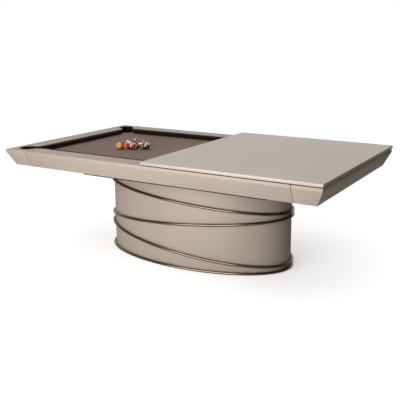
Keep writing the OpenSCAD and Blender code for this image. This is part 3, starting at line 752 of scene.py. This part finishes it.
@dataclass
class Bed:
    """Three slates, their screws, and the cloth stretched over them."""

    columns: int = 60
    rows: int = 24
    arc_steps: int = 24
    # The columns just outside a notch stand this far from it
    step_back: float = MERGE
    play: float = 1.2 * MM
    digits: int = 7

    def holes(self) -> list[tuple[float, float, float]]:
        """Middle x, middle y and radius of the notches of the back half of the cloth.

        Returns:
            Three numbers for each notch.
        """
        found = []
        for place in PLACES:
            low, high = corners(f"pocket_cup_back_{place}")
            middle = (low + high) / 2
            found.append((middle[0], middle[1], (high[0] - low[0]) / 2 + self.play))
        return found

    def edge(self, x: Array, half: float) -> Array:
        """Distance from the middle line to the cloth's long edge.

        It is the cloth's half width, or less in a notch, where it is the hole's middle less the
        root of radius squared less distance squared.

        Args:
            x: places along the table.
            half: half of the cloth's width.

        Returns:
            One distance for each x.
        """
        reach = np.full_like(x, half)
        for hole_x, hole_y, radius in self.holes():
            inside = np.abs(x - hole_x) <= radius
            depth = np.sqrt(np.clip(radius ** 2 - (x - hole_x) ** 2, 0, None))
            reach = np.where(inside, np.minimum(reach, hole_y - depth), reach)
        return reach

    def stations(self, low: float, high: float) -> Array:
        """Places along the table for the grid's columns, close together round each notch.

        Args:
            low: the cloth's left end.
            high: its right end.

        Returns:
            The places, in rising order.
        """
        turn = np.cos(np.linspace(math.pi, 0, self.arc_steps))
        rounds = [x + radius * turn for x, _, radius in self.holes()]
        lips = [np.array([x - radius, x + radius]) + self.step_back * np.array([-1, 1])
                for x, _, radius in self.holes()]
        places = np.concatenate([np.linspace(low, high, self.columns), *rounds, *lips])
        return np.unique(np.round(places[(places >= low) & (places <= high)], self.digits))

    def cloth(self) -> bpy.types.Object:
        """The stretched cloth: y = v times the edge at x, on a grid of x and of v from -1 to 1.

        Returns:
            The piece.
        """
        low, high = corners("bed_cloth")
        x = self.stations(low[0], high[0])
        reach = self.edge(x, high[1])
        v = np.linspace(-1, 1, self.rows)
        grid = np.stack([np.broadcast_to(x[:, None], (len(x), self.rows)), reach[:, None] * v,
                         np.full((len(x), self.rows), high[2])], 2)
        index = np.arange(grid[..., 0].size).reshape(len(x), self.rows)
        quads = np.stack([index[:-1, :-1], index[1:, :-1], index[1:, 1:], index[:-1, 1:]], 2).reshape(-1, 4)
        points = grid.reshape(-1, 3)
        piece = build("bed_cloth_stretched", [Surface(points, quads, points[quads][..., :2])])
        thick = piece.modifiers.new("thickness", "SOLIDIFY")
        thick.thickness = high[2] - low[2]
        thick.offset = -1.0
        hand_over(piece, BED_CLOTH, TABLE, "bed_cloth")
        return piece

    def build(self) -> None:
        """Makes the cloth and dresses the slates and screws."""
        for place in ("left", "centre", "right"):
            dress(f"slate_{place}", SLATE)
        dress("slate_screws", ZINC)
        self.cloth()


class Run(Enum):
    """Which way a cushion runs: its axis along the table, and the axis and sign that face outwards."""

    FRONT = (0, 1, -1)
    BACK = (0, 1, 1)
    LEFT = (1, 0, -1)
    RIGHT = (1, 0, 1)


@dataclass
class Cushion:
    """One cushion: rubber of a rounded section under cloth, cut slantwise at its pockets."""

    node: str
    run: Run
    nose_radius: float = 2.6 * MM
    soft: float = 1.5 * MM
    # Where the top begins to slope to the nose: share of the width, and of the height above the nose
    shoulder: tuple[float, float] = (0.08, 0.45)
    # The undercut, from the rail to the nose: shares of the width
    undercut: tuple[float, float, float] = (0.6, 0.42, 0.05)
    # The undercut's heights above the foot, and its depth below the nose
    foot_rise: float = 0.5 * MM
    heel_rise: float = 5.5 * MM
    chin_drop: float = 5.0 * MM
    stations: int = 40
    end_steps: int = 4
    crisp: float = 50.0

    def ends(self) -> tuple[Array, Array]:
        """How far out and along the CAD cushion's nose and back edges reach.

        Returns:
            The distances out of the two edges, and for each the lowest and highest place along.
        """
        along, out, sign = self.run.value
        points = points_of(self.node)
        depth = points[:, out] * sign
        edges = np.array([depth.min(), depth.max()])
        spans = [points[np.abs(depth - edge) < NEAR][:, along] for edge in edges]
        return edges, np.array([[span.min(), span.max()] for span in spans])

    def section(self) -> Array:
        """The section as distances out from the nose line and heights, from the nose round to it.

        Returns:
            The points of the section.
        """
        points = points_of(self.node)
        _, out, sign = self.run.value
        depth = points[:, out] * sign
        width = depth.max() - depth.min()
        low, high = points[:, 2].min(), points[:, 2].max()
        nose = points[depth < depth.min() + NEAR][:, 2].max()
        foot, heel, chin = self.undercut
        outline = [
            (0, nose), (self.shoulder[0] * width, nose + self.shoulder[1] * (high - nose)),
            (width, high), (width, low), (foot * width, low + self.foot_rise),
            (heel * width, low + self.heel_rise), (chin * width, nose - self.chin_drop),
        ]
        r = self.soft
        return rounded(outline, [self.nose_radius, 4 * r, r, r, 2 * r, 2 * r, 2 * r])

    def shell(self) -> Surface:
        """The section carried along between the two slanted ends, which are soft.

        A point's place along is blended between the two slanted ends at its own depth; the last
        rings shrink towards the section's middle along a quarter circle.
        """
        along, out, sign = self.run.value
        edges, spans = self.ends()
        section = self.section()
        middle = section.mean(0)
        share = section[:, 0] / (edges[1] - edges[0])
        first = spans[0, 0] + share * (spans[1, 0] - spans[0, 0])
        last = spans[0, 1] + share * (spans[1, 1] - spans[0, 1])
        turn = np.linspace(0, math.pi / 2, self.end_steps)
        flat_run = np.zeros(self.stations)
        push = self.soft * (1 - np.cos(turn))
        shift = np.concatenate([push, flat_run, -push[::-1]])
        bend = self.soft * (1 - np.sin(turn))
        inset = np.concatenate([bend, flat_run, bend[::-1]])
        t = np.concatenate([np.zeros(self.end_steps), np.linspace(0, 1, self.stations + 2)[1:-1],
                            np.ones(self.end_steps)])
        size = np.abs(section - middle).max()
        flat = middle + (section - middle)[None] * (1 - inset / size)[:, None, None]
        rings = np.zeros((len(t), len(section), 3))
        rings[..., along] = first + (last - first) * t[:, None] + shift[:, None]
        rings[..., out] = sign * (edges[0] + flat[..., 0])
        rings[..., 2] = flat[..., 1]
        return loft(rings)

    def build(self) -> bpy.types.Object:
        """Makes the cushion."""
        piece = build(f"{self.node}_covered", [self.shell()], sharp=self.crisp)
        # The cloth's dark tone is painted shade of the cushions' undercut faces
        hand_over(piece, SHADED_CUSHION_CLOTH, TABLE, self.node)
        return piece


@dataclass
class Cushions:
    """The six cushions and the rubber facings at their ends."""

    def build(self) -> None:
        """Makes each cushion."""
        for side, run in zip(SIDES, (Run.FRONT, Run.BACK)):
            for end in ENDS:
                Cushion(f"cushion_{side}_{end}", run).build()
        for end, run in zip(ENDS, (Run.LEFT, Run.RIGHT)):
            Cushion(f"cushion_end_{end}", run).build()
        dress("cushion_facings", RUBBER_AND_SEAM_SHADE)


@dataclass
class Pocket:
    """A drop pocket: a liner with a rolled lip on the rail, and a leather cup below it."""

    place: str
    wall: float = 3 * MM
    # The liner's full wall ends this far below the top of the cloth
    shelf_drop: float = 2 * MM
    arris: float = 0.5 * MM
    # The raised welts: their height, number, width as a share of their spacing, and share of the profile
    welt: float = 0.9 * MM
    welts: int = 6
    welt_width: float = 0.02
    welt_reach: tuple[float, float] = (0.12, 0.45)
    # The cup: the roll of its rim, the play under the liner, and the drain hole's share of the floor
    roll: float = 2.2 * MM
    rim_play: float = 0.05 * MM
    drain: float = 0.4
    sides: int = 96
    arc_steps: int = 96
    profile_steps: int = 6

    def centre(self) -> tuple[Array, float]:
        """The hole's middle in plan, and the radius of the cup's rim."""
        low, high = corners(f"pocket_cup_{self.place}")
        return (low + high)[:2] / 2, (high[0] - low[0]) / 2

    def outward(self) -> float:
        """The direction from the field to the pocket, as an angle in plan.

        Returns:
            The angle, in radians.
        """
        middle, _ = self.centre()
        aim = np.array([0.0 if abs(middle[0]) < MM else np.sign(middle[0]), np.sign(middle[1])])
        return math.atan2(aim[1], aim[0])

    def opening(self, radius: float) -> float:
        """The largest angle from outwards that the CAD liner's lip reaches at a radius.

        Args:
            radius: distance from the hole's middle.

        Returns:
            The angle, in radians.
        """
        middle, _ = self.centre()
        points = points_of(f"pocket_liner_{self.place}")
        top = points[points[:, 2] > points[:, 2].max() - NEAR]
        offset = top[:, :2] - middle
        near = offset[np.abs(np.linalg.norm(offset, axis=1) - radius) < 4 * NEAR]
        angle = np.arctan2(near[:, 1], near[:, 0]) - self.outward()
        return float(np.abs((angle + math.pi) % (2 * math.pi) - math.pi).max())

    def turned(self, profile: Array, angles: Array) -> Array:
        """Rings of a profile of radius and height, one at each angle from outwards.

        Args:
            profile: an array of shape (points, 2).
            angles: an array of shape (rings,) or (rings, points).

        Returns:
            An array of shape (rings, points, 3).
        """
        middle, _ = self.centre()
        angles = np.asarray(angles)
        turn = self.outward() + (angles[:, None] if angles.ndim == 1 else angles)
        turn = np.broadcast_to(turn, (len(angles), len(profile)))
        radius, height = profile[:, 0], np.broadcast_to(profile[:, 1], turn.shape)
        return np.stack([middle[0] + radius * np.cos(turn), middle[1] + radius * np.sin(turn), height], 2)

    def liner(self) -> bpy.types.Object:
        """The liner: a full wall below the bed, and a wall with a rolled lip behind the throat.

        The upper part's end angle is blended, by radius, between the angles that the CAD lip
        reaches at its inner wall and at its outer edge.
        """
        node = f"pocket_liner_{self.place}"
        low, high = corners(node)
        _, radius = self.centre()
        inner = radius - self.wall
        lip = (high[0] - low[0]) / 2
        rail = corners("rail_back")[1][2]
        shelf = corners("bed_cloth")[1][2] - self.shelf_drop
        fine = self.arris
        upper = rounded(
            [(inner, shelf), (radius, shelf), (radius, rail), (lip, rail), (lip, high[2]), (inner, high[2])],
            [fine, fine, 0.4 * MM, 0.6 * MM, 1.0 * MM, 1.8 * MM])
        inner_end, lip_end = self.opening(inner), self.opening(lip)
        end = inner_end + (upper[:, 0] - inner) / (lip - inner) * (lip_end - inner_end)
        share = np.linspace(-1, 1, self.arc_steps)
        lower = rounded([(inner, low[2]), (radius, low[2]), (radius, shelf), (inner, shelf)],
                        [fine, fine, fine, 1.4 * MM])
        around = np.linspace(0, 2 * math.pi, self.sides, endpoint=False)
        shells = [loft(self.turned(upper, share[:, None] * end)),
                  loft(self.turned(lower, around), closed=True)]
        return hand_over(build(f"{node}_rolled", shells), LEATHER, TABLE, node)

    def cup(self) -> bpy.types.Object:
        """The cup: a tapered leather bowl with raised welts down its sides and a rolled rim.

        The profile is turned about the pocket's middle; on the outer wall the radius grows by
        the welt's height times a narrow bell at each welt's angle.
        """
        node = f"pocket_cup_{self.place}"
        low, high = corners(node)
        middle, rim = self.centre()
        points = points_of(node)
        base = points[points[:, 2] < low[2] + NEAR][:, :2] - middle
        floor = float(np.linalg.norm(base, axis=1).max())
        wall, roll, hub, top = self.wall, self.roll, self.drain * floor, high[2] - self.rim_play
        outline = [(hub, low[2]), (floor, low[2]), (rim - 1 * MM, high[2] - 2 * roll - 2 * MM),
                   (rim, high[2] - 2 * roll), (rim + roll, high[2] - roll), (rim, top),
                   (rim - wall, top), (floor - wall, low[2] + wall), (hub, low[2] + wall)]
        profile = rounded(outline, [0.3 * MM, 7 * MM, 1 * MM, 0.8 * MM, 1.6 * MM, 0.8 * MM,
                                    1 * MM, 5 * MM, 0.3 * MM], steps=self.profile_steps)
        around = np.linspace(0, 2 * math.pi, 2 * self.sides, endpoint=False)
        rings = self.turned(profile, around).transpose(1, 0, 2)
        along = np.linspace(0, 1, len(profile))
        outer = (along > self.welt_reach[0]) & (along < self.welt_reach[1])
        bell = np.exp(-((((around * self.welts / (2 * math.pi)) % 1) - 0.5) / self.welt_width) ** 2)
        grown = self.welt * bell[None, :] * outer[:, None]
        spread = unit(rings[..., :2] - middle)
        rings[..., :2] += spread * grown[..., None]
        return hand_over(build(f"{node}_sewn", [loft(rings)]), LEATHER, TABLE, node)

    def build(self) -> None:
        """Makes the liner and the cup."""
        self.liner()
        self.cup()


@dataclass
class Pockets:
    """The six pockets."""

    def build(self) -> None:
        """Makes each pocket."""
        for place in POCKETS:
            Pocket(place).build()


@dataclass
class Pedestal:
    """The elliptical pedestal: two curved shells on inner plates and ribs, ringed by bronze tubes."""

    arris: float = 1.5 * MM
    half_steps: int = 160
    ring_steps: int = 288
    tube_sides: int = 24

    def ellipse(self) -> tuple[float, float]:
        """Half length and half width of the shell."""
        high = corners("pedestal_shell_back")[1]
        return high[0], high[1]

    def thickness(self) -> float:
        """Thickness of the shell, from the inner edge of its cut end.

        Returns:
            The thickness.
        """
        points = points_of("pedestal_shell_back")
        ends = points[(points[:, 1] < NEAR) & (points[:, 0] > 0)]
        return float(ends[:, 0].max() - ends[:, 0].min())

    def shell(self, side: str, start: float) -> bpy.types.Object:
        """Half of the shell.

        A profile of depth w and height z is carried round half of the ellipse: its point is
        ((a - w) cos t, (b - w) sin t, z), so that inner and outer faces are both ellipses.

        Args:
            side: front or back.
            start: the angle t where this half begins.

        Returns:
            The piece.
        """
        node = f"pedestal_shell_{side}"
        low, high = corners(node)
        a, b = self.ellipse()
        profile = rounded([(0, low[2]), (0, high[2]), (self.thickness(), high[2]),
                           (self.thickness(), low[2])], self.arris)
        t = start + np.linspace(0, math.pi, self.half_steps)
        rings = np.stack([np.cos(t)[:, None] * (a - profile[:, 0]),
                          np.sin(t)[:, None] * (b - profile[:, 0]),
                          np.broadcast_to(profile[:, 1], (len(t), len(profile)))], 2)
        return hand_over(build(f"{node}_veneer", [loft(rings)]), CHAMPAGNE, TABLE, node)

    def tube(self, place: str) -> bpy.types.Object:
        """A bronze tube round the shell.

        Its centre line is (a cos t, b sin t) moved straight out by one tube radius and the gap,
        on the plane z = c + p x + q y that fits the CAD ring best. Round each point of it lies
        a circle across the line.

        Args:
            place: which ring, base, lower, middle or upper.

        Returns:
            The piece.
        """
        node = f"ring_{place}"
        points = points_of(node)
        lean = np.linalg.lstsq(np.c_[points[:, :2], np.ones(len(points))], points[:, 2], rcond=None)[0]
        low, high = corners("ring_base")
        radius = (high[2] - low[2]) / 2
        a, b = self.ellipse()
        out = high[0] - a - radius
        t = np.linspace(0, 2 * math.pi, self.ring_steps, endpoint=False)
        normal = unit(np.stack([np.cos(t) / a, np.sin(t) / b], 1))
        plan = np.stack([a * np.cos(t), b * np.sin(t)], 1) + out * normal
        core = np.c_[plan, plan @ lean[:2] + lean[2]]
        along = unit(np.roll(core, -1, 0) - np.roll(core, 1, 0))
        outward = unit(np.cross(along, [0.0, 0.0, 1.0]))
        up = np.cross(outward, along)
        k = np.linspace(0, 2 * math.pi, self.tube_sides, endpoint=False)[None, :, None]
        rings = core[:, None] + radius * (np.cos(k) * outward[:, None] + np.sin(k) * up[:, None])
        return hand_over(build(f"{node}_polished", [loft(rings, closed=True)]), BRONZE, TABLE, node)

    def build(self) -> None:
        """Makes the shells and tubes and dresses the inner boards."""
        self.shell("front", math.pi)
        self.shell("back", 0.0)
        for place in ("base", "lower", "middle", "upper"):
            self.tube(place)
        for node in ("pedestal_base_plate", "pedestal_top_plate", "pedestal_spine", "pedestal_ribs"):
            dress(node, BIRCH)


@dataclass
class Framing:
    """The beams between the pedestal and the slates, with their bolts."""

    def build(self) -> None:
        """Dresses every beam and bolt."""
        for node in ("support_beam_front", "support_beam_back", "support_cross_beams",
                     "bed_beam_front", "bed_beam_back", "bed_end_beams", "bed_cross_beams"):
            dress(node, BEECH)
        dress("frame_bolts", ZINC)


@dataclass
class DiningCover:
    """The half cover: a lacquered panel with soft arrises, battens and felt strips below it."""

    body: str = "cover"
    arris: float = 2.0 * MM
    corner: float = 3.0 * MM
    steps: int = 5
    # A face looks down when its normal falls more than this
    downward: float = -0.9

    def panel(self) -> bpy.types.Object:
        """The panel: a rectangle with round corners, stacked up its height.

        Near the bottom and the top the outline draws in along a quarter circle.
        """
        low, high = corners("cover_panel")
        turn = np.linspace(0, math.pi / 2, self.steps)
        inset = self.arris * np.concatenate([1 - np.sin(turn), 1 - np.cos(turn)])
        height = np.concatenate([low[2] + self.arris * (1 - np.cos(turn)),
                                 high[2] - self.arris * (1 - np.sin(turn))])
        outlines = [
            rounded([(low[0] + d, low[1] + d), (high[0] - d, low[1] + d),
                     (high[0] - d, high[1] - d), (low[0] + d, high[1] - d)], self.corner)
            for d in inset
        ]
        rings = np.stack([np.c_[outline, np.full(len(outline), z)] for outline, z in zip(outlines, height)])
        piece = hand_over(build("cover_panel_lacquered", [loft(rings)]), COVER_LACQUER, self.body,
                          "cover_panel")
        # The cover's downward faces are painted near-black, as shade for the gap between cover and rails
        line(piece, GAP_SHADE_BACKER, lambda middles, normals: normals[:, 2] < self.downward)
        return piece

    def build(self) -> None:
        """Makes the panel and the battens, and dresses the felt."""
        self.panel()
        hand_over(softened("cover_battens_planed", "cover_battens", self.arris), BIRCH, self.body,
                  "cover_battens")
        # The felt's near-black is painted shade for the gap under the cover
        dress("cover_felt", FELT_WITH_GAP_SHADE)


class Paint(Enum):
    """The colours of a set of pool balls."""

    YELLOW = "#dcab4c"
    BLUE = "#15225e"
    RED = "#a80f10"
    PURPLE = "#281338"
    ORANGE = "#e8480e"
    GREEN = "#08301f"
    MAROON = "#5c0a0e"
    BLACK = "#070708"


@dataclass
class BallRack:
    """Fifteen balls in a triangle whose apex points along the table."""

    body: str = "balls"
    rack_rows: int = 5
    columns: int = 40
    rows: int = 26
    seed: int = 11
    facing: float = -0.3 * math.pi
    roll: float = 0.45 * math.pi
    swing: float = 0.45 * math.pi

    def order(self) -> list[tuple[Paint, bool]]:
        """Each ball's colour and whether it is striped, row by row from the apex.

        Returns:
            A colour and a flag for each ball.
        """
        solid, striped = False, True
        return [
            (Paint.GREEN, striped),
            (Paint.MAROON, striped), (Paint.RED, solid),
            (Paint.RED, striped), (Paint.BLACK, solid), (Paint.PURPLE, striped),
            (Paint.ORANGE, solid), (Paint.YELLOW, striped), (Paint.BLUE, solid), (Paint.MAROON, solid),
            (Paint.YELLOW, solid), (Paint.PURPLE, solid), (Paint.ORANGE, striped), (Paint.GREEN, solid),
            (Paint.BLUE, striped),
        ]

    def centres(self) -> tuple[Array, float]:
        """The balls' middles, row by row from the apex, and their radius, from the CAD set's box.

        Returns:
            The middles and the radius.
        """
        low, high = corners("ball_set")
        radius = (high[2] - low[2]) / 2
        step = ((high - low)[:2] - 2 * radius) / (self.rack_rows - 1)
        held = np.arange(1, self.rack_rows + 1)
        row = np.repeat(held - 1, held)
        place = np.concatenate([np.arange(n) for n in held])
        x = high[0] - radius - row * step[0]
        y = (low[1] + high[1]) / 2 + (place - row / 2) * step[1]
        return np.stack([x, y, np.full(len(row), low[2] + radius)], 1), radius

    def turns(self) -> Array:
        """A rotation for each ball, as a player sets them: bands towards one side.

        The band's axis is square to the facing direction, rolled from upright by a random angle;
        the spot's axis is square to the band's, swung from the facing direction by another.

        Returns:
            An array of shape (balls, 3, 3) whose rows are the ball's own axes.
        """
        drawn = np.random.default_rng(self.seed).uniform(-1, 1, (2, len(self.order()), 1))
        roll, swing = self.roll * drawn[0], self.swing * drawn[1]
        front = np.array([math.cos(self.facing), math.sin(self.facing), 0.0])
        side = np.array([-front[1], front[0], 0.0])
        band = np.cos(roll) * np.array([0.0, 0.0, 1.0]) + np.sin(roll) * side
        spot = np.cos(swing) * front + np.sin(swing) * np.cross(band, front)
        return np.stack([spot, np.cross(band, spot), band], 1)

    def build(self) -> bpy.types.Object:
        """The set: rings of latitude and longitude round each middle, closed at the poles.

        A direction is (sin a cos b, sin a sin b, cos a); its own direction on the ball is that
        one turned by the ball's rotation, and carries the band and the spots.
        """
        centres, radius = self.centres()
        a = np.linspace(0, math.pi, self.rows + 2)[1:-1]
        b = np.linspace(0, 2 * math.pi, self.columns, endpoint=False)
        ring = np.stack([np.sin(a)[:, None] * np.cos(b), np.sin(a)[:, None] * np.sin(b),
                         np.broadcast_to(np.cos(a)[:, None], (len(a), len(b)))], 2)
        shells = [self.with_poles(loft(centre + radius * ring), centre, radius) for centre in centres]
        piece = build("ball_set_polished", shells, sharp=180)
        own, paint, striped = self.attributes(ring)
        self.store(piece.data, own, paint, striped)
        return hand_over(piece, RESIN, self.body, "ball_set")

    def with_poles(self, shell: Surface, centre: Array, radius: float) -> Surface:
        """The shell with its flat caps raised to a point at each pole.

        Args:
            shell: a ball with flat caps.
            centre: its middle.
            radius: its radius.

        Returns:
            The closed ball: each cap becomes a fan of triangles that meet at its pole.
        """
        count = len(shell.points)
        poles = centre + radius * POLES
        caps = []
        for cap in shell.caps:
            pole = count + (0 if shell.points[cap[0], 2] > centre[2] else 1)
            caps += [[cap[i], cap[(i + 1) % len(cap)], pole] for i in range(len(cap))]
        return Surface(np.concatenate([shell.points, poles]), shell.quads, shell.quad_uv, caps)

    def attributes(self, ring: Array) -> tuple[Array, Array, Array]:
        """Own direction, paint and stripe flag for every point of the set.

        Args:
            ring: the directions of one ball's rings.

        Returns:
            The three arrays.
        """
        directions = np.concatenate([ring.reshape(-1, 3), POLES])
        own = np.einsum("nij,pj->npi", self.turns(), directions).reshape(-1, 3)
        each = len(directions)
        paint = np.repeat([linear(colour.value) for colour, _ in self.order()], each, 0)
        striped = np.repeat([float(flag) for _, flag in self.order()], each)
        return own, paint, striped

    def store(self, mesh: bpy.types.Mesh, own: Array, paint: Array, striped: Array) -> None:
        """Writes the three attributes that the resin's colour reads.

        Args:
            mesh: the set's mesh.
            own: own directions.
            paint: linear colours.
            striped: 1 for a striped ball.
        """
        mesh.attributes.new("own_direction", "FLOAT_VECTOR", "POINT").data.foreach_set(
            "vector", own.astype(np.float32).ravel())
        mesh.attributes.new("paint", "FLOAT_COLOR", "POINT").data.foreach_set(
            "color", paint.astype(np.float32).ravel())
        mesh.attributes.new("striped", "FLOAT", "POINT").data.foreach_set(
            "value", striped.astype(np.float32))


@dataclass
class Feet:
    """The four levelling feet and their flanged inserts."""

    def build(self) -> None:
        """Dresses each foot and the inserts."""
        for side in SIDES:
            for end in ENDS:
                dress(f"foot_{side}_{end}", ZINC)
        dress("foot_inserts", ZINC)


# ---------- studio ----------


@dataclass
class Studio:
    """A pale floor, a soft dome that is dark on one side, a tall front light, and the camera."""

    # The floor, its glow to the camera, and where along +X the light that it throws back ends
    floor_radius: float = 60.0
    floor_rings: int = 12
    floor_sides: int = 64
    floor_hub: float = 0.2
    floor_glow: float = 0.5
    floor_tones: tuple[str, str] = ("#b4b2af", "#2a2018")
    floor_dark: tuple[float, float] = (2.0, 3.2)
    # A lit patch of the floor in front of the table: its middle, where it fades, and its strength
    front_card: tuple[float, float, float] = (-0.1, -1.9, 0.0)
    front_card_reach: tuple[float, float] = (0.9, 2.8)
    front_card_glow: float = 0.3
    # The dome: its light at the horizon and overhead, a bright patch behind, and a dark one at +X
    dome_tone: str = "#fffdfa"
    low_light: float = 0.14
    top_light: float = 1.0
    top_falloff: float = 3.0
    back_light: float = 0.6
    back_way: tuple[float, float, float] = (-0.5, 0.85, 0.1)
    back_from: tuple[float, float] = (0.3, 0.9)
    dark_way: tuple[float, float, float] = (1.0, 0.05, 0.05)
    dark_from: tuple[float, float] = (0.45, 0.9)
    dark_light: float = 0.02
    # The front light
    key_tone: str = "#fffcfb"
    key_size: tuple[float, float] = (3.4, 2.0)
    key_watts: float = 95.0
    key_place: tuple[float, float, float] = (-0.05, -3.3, 1.15)
    key_aim: tuple[float, float, float] = (0.05, 0.0, 0.6)
    # The camera, with its angles in degrees
    camera_place: tuple[float, float, float] = (2.596, -4.2385, 1.744)
    camera_tilt: float = 77.27
    camera_turn: float = 29.95
    lens: float = 58.5
    sensor: float = 36.0
    sight: float = 200.0
    shift: tuple[float, float] = (-0.0397, -0.0603)

    def floor(self) -> None:
        """A disc, as rings of growing radius."""
        radius = np.linspace(self.floor_hub, 1, self.floor_rings) ** 2 * self.floor_radius
        turn = np.linspace(0, 2 * math.pi, self.floor_sides, endpoint=False)
        rings = np.stack([radius[:, None] * np.cos(turn), radius[:, None] * np.sin(turn),
                          np.zeros((self.floor_rings, self.floor_sides))], 2)
        shell = loft(rings)
        shell.caps = [[*range(self.floor_sides)]]
        piece = build("studio_floor", [shell])
        piece.data.materials.append(self.lit_paper())

    def lit_paper(self) -> bpy.types.Material:
        """The floor's paper: lit through from below, and giving less light back at one end.

        What the camera sees is the paper with its glow. The light that it throws on the table
        fades to a dark brown card's along +X, as when a dark cloth lies beside the set, and is
        strongest from a lit patch in front of the table.
        """
        made = PAPER.material()
        tree = made.node_tree
        output = next(node for node in tree.nodes if node.type == "OUTPUT_MATERIAL")
        paper = next(node for node in tree.nodes if node.type == "BSDF_PRINCIPLED")
        paper.inputs["Emission Color"].default_value = linear(WHITE)
        paper.inputs["Emission Strength"].default_value = self.floor_glow
        place = add(tree, "ShaderNodeTexCoord").outputs["Object"]
        along = add(tree, "ShaderNodeSeparateXYZ", {0: place}).outputs["X"]
        fade = add(tree, "ShaderNodeMapRange",
                   {"Value": along, "From Min": self.floor_dark[0], "From Max": self.floor_dark[1]},
                   interpolation_type="SMOOTHSTEP")
        tone = add(tree, "ShaderNodeMix",
                   {"Factor": fade.outputs[0], COLOUR_A: linear(self.floor_tones[0]),
                    COLOUR_B: linear(self.floor_tones[1])}, data_type="RGBA")
        card = add(tree, "ShaderNodeBsdfDiffuse", {"Color": tone.outputs[2]})
        apart = add(tree, "ShaderNodeVectorMath", {0: place, 1: self.front_card}, operation="DISTANCE")
        spot = add(tree, "ShaderNodeMapRange",
                   {"Value": apart.outputs["Value"], "From Min": self.front_card_reach[0],
                    "From Max": self.front_card_reach[1], "To Min": self.front_card_glow, "To Max": 0.0},
                   interpolation_type="SMOOTHSTEP")
        glow = add(tree, "ShaderNodeEmission", {"Color": linear(WHITE), "Strength": spot.outputs[0]})
        thrown = add(tree, "ShaderNodeAddShader", {0: card.outputs[0], 1: glow.outputs[0]})
        seen = add(tree, "ShaderNodeLightPath").outputs["Is Camera Ray"]
        both = add(tree, "ShaderNodeMixShader",
                   {0: seen, 1: thrown.outputs[0], 2: paper.outputs[0]})
        tree.links.new(both.outputs[0], output.inputs["Surface"])
        return made

    def dome(self) -> None:
        """Light from all round, dark towards the covered end.

        The camera itself sees plain white paper instead, as behind a studio table.
        """
        world = bpy.data.worlds.new("studio_dome")
        bpy.context.scene.world = world
        world.use_nodes = True
        tree = world.node_tree
        tree.nodes.clear()
        way = add(tree, "ShaderNodeTexCoord").outputs["Generated"]
        height = add(tree, "ShaderNodeSeparateXYZ", {0: way}).outputs["Z"]
        above = add(tree, "ShaderNodeMath", {0: height, 1: 0.0}, operation="MAXIMUM")
        steep = add(tree, "ShaderNodeMath", {0: above.outputs[0], 1: self.top_falloff}, operation="POWER")
        over = add(tree, "ShaderNodeMath",
                   {0: steep.outputs[0], 1: self.top_light, 2: self.low_light}, operation="MULTIPLY_ADD")
        back = self.lobe(tree, way, self.back_way, self.back_from, 0.0, self.back_light)
        dark = self.lobe(tree, way, self.dark_way, self.dark_from, 1.0, self.dark_light)
        full = add(tree, "ShaderNodeMath", {0: over.outputs[0], 1: back}, operation="ADD")
        glow = add(tree, "ShaderNodeMath", {0: full.outputs[0], 1: dark}, operation="MULTIPLY")
        light = add(tree, "ShaderNodeBackground",
                    {"Color": linear(self.dome_tone), "Strength": glow.outputs[0]})
        paper = add(tree, "ShaderNodeBackground", {"Color": linear(WHITE), "Strength": 1.0})
        seen = add(tree, "ShaderNodeLightPath").outputs["Is Camera Ray"]
        both = add(tree, "ShaderNodeMixShader", {0: seen, 1: light.outputs[0], 2: paper.outputs[0]})
        add(tree, "ShaderNodeOutputWorld", {"Surface": both.outputs[0]})

    def lobe(self, tree: bpy.types.NodeTree, way: bpy.types.NodeSocket, aim: tuple[float, float, float],
             edges: tuple[float, float], outside: float, inside: float) -> bpy.types.NodeSocket:
        """A smooth patch of the dome: one value round a direction and another away from it.

        Args:
            tree: the dome's nodes.
            way: the direction looked at.
            aim: the middle of the patch.
            edges: the cosines of the angles where it begins and where it is full.
            outside: the value away from it.
            inside: the value in it.

        Returns:
            The socket that gives the value.
        """
        facing = add(tree, "ShaderNodeVectorMath", {0: way, 1: tuple(unit(np.array(aim)))},
                     operation="DOT_PRODUCT")
        patch = add(tree, "ShaderNodeMapRange",
                    {"Value": facing.outputs["Value"], "From Min": edges[0], "From Max": edges[1],
                     "To Min": outside, "To Max": inside}, interpolation_type="SMOOTHSTEP")
        return patch.outputs[0]

    def key(self) -> None:
        """The front light: a tall, wide soft box left of the camera and hidden from it."""
        lamp = bpy.data.lights.new("front_box", "AREA")
        lamp.shape = "RECTANGLE"
        lamp.size, lamp.size_y = self.key_size
        lamp.energy = self.key_watts
        lamp.color = linear(self.key_tone)[:3]
        held = bpy.data.objects.new("front_box", lamp)
        held.location = self.key_place
        aim = Vector(self.key_aim) - Vector(self.key_place)
        held.rotation_euler = aim.to_track_quat("-Z", "Y").to_euler()
        held.visible_camera = False
        bpy.context.scene.collection.objects.link(held)

    def camera(self) -> None:
        """The camera, looking down on the table from its front right."""
        data = bpy.data.cameras.new("camera")
        data.lens = self.lens
        data.sensor_width = self.sensor
        data.shift_x, data.shift_y = self.shift
        data.clip_end = self.sight
        held = bpy.data.objects.new("camera", data)
        held.location = self.camera_place
        held.rotation_euler = (math.radians(self.camera_tilt), 0.0, math.radians(self.camera_turn))
        bpy.context.scene.collection.objects.link(held)
        bpy.context.scene.camera = held

    def build(self) -> None:
        """Sets up the whole studio."""
        self.floor()
        self.dome()
        self.key()
        self.camera()
        bpy.context.scene.view_settings.view_transform = "Standard"


def main() -> None:
    """Builds the studio and every sub-assembly in order."""
    logging.basicConfig(level=logging.INFO, format="%(name)s %(message)s")
    for part in (Studio(), Pedestal(), Framing(), Bed(), Rim(), Cushions(), Pockets(), DiningCover(),
                 BallRack(), Feet()):
        part.build()
        LOG.info("%s is built", type(part).__name__)


if __name__ == "__main__":
    main()
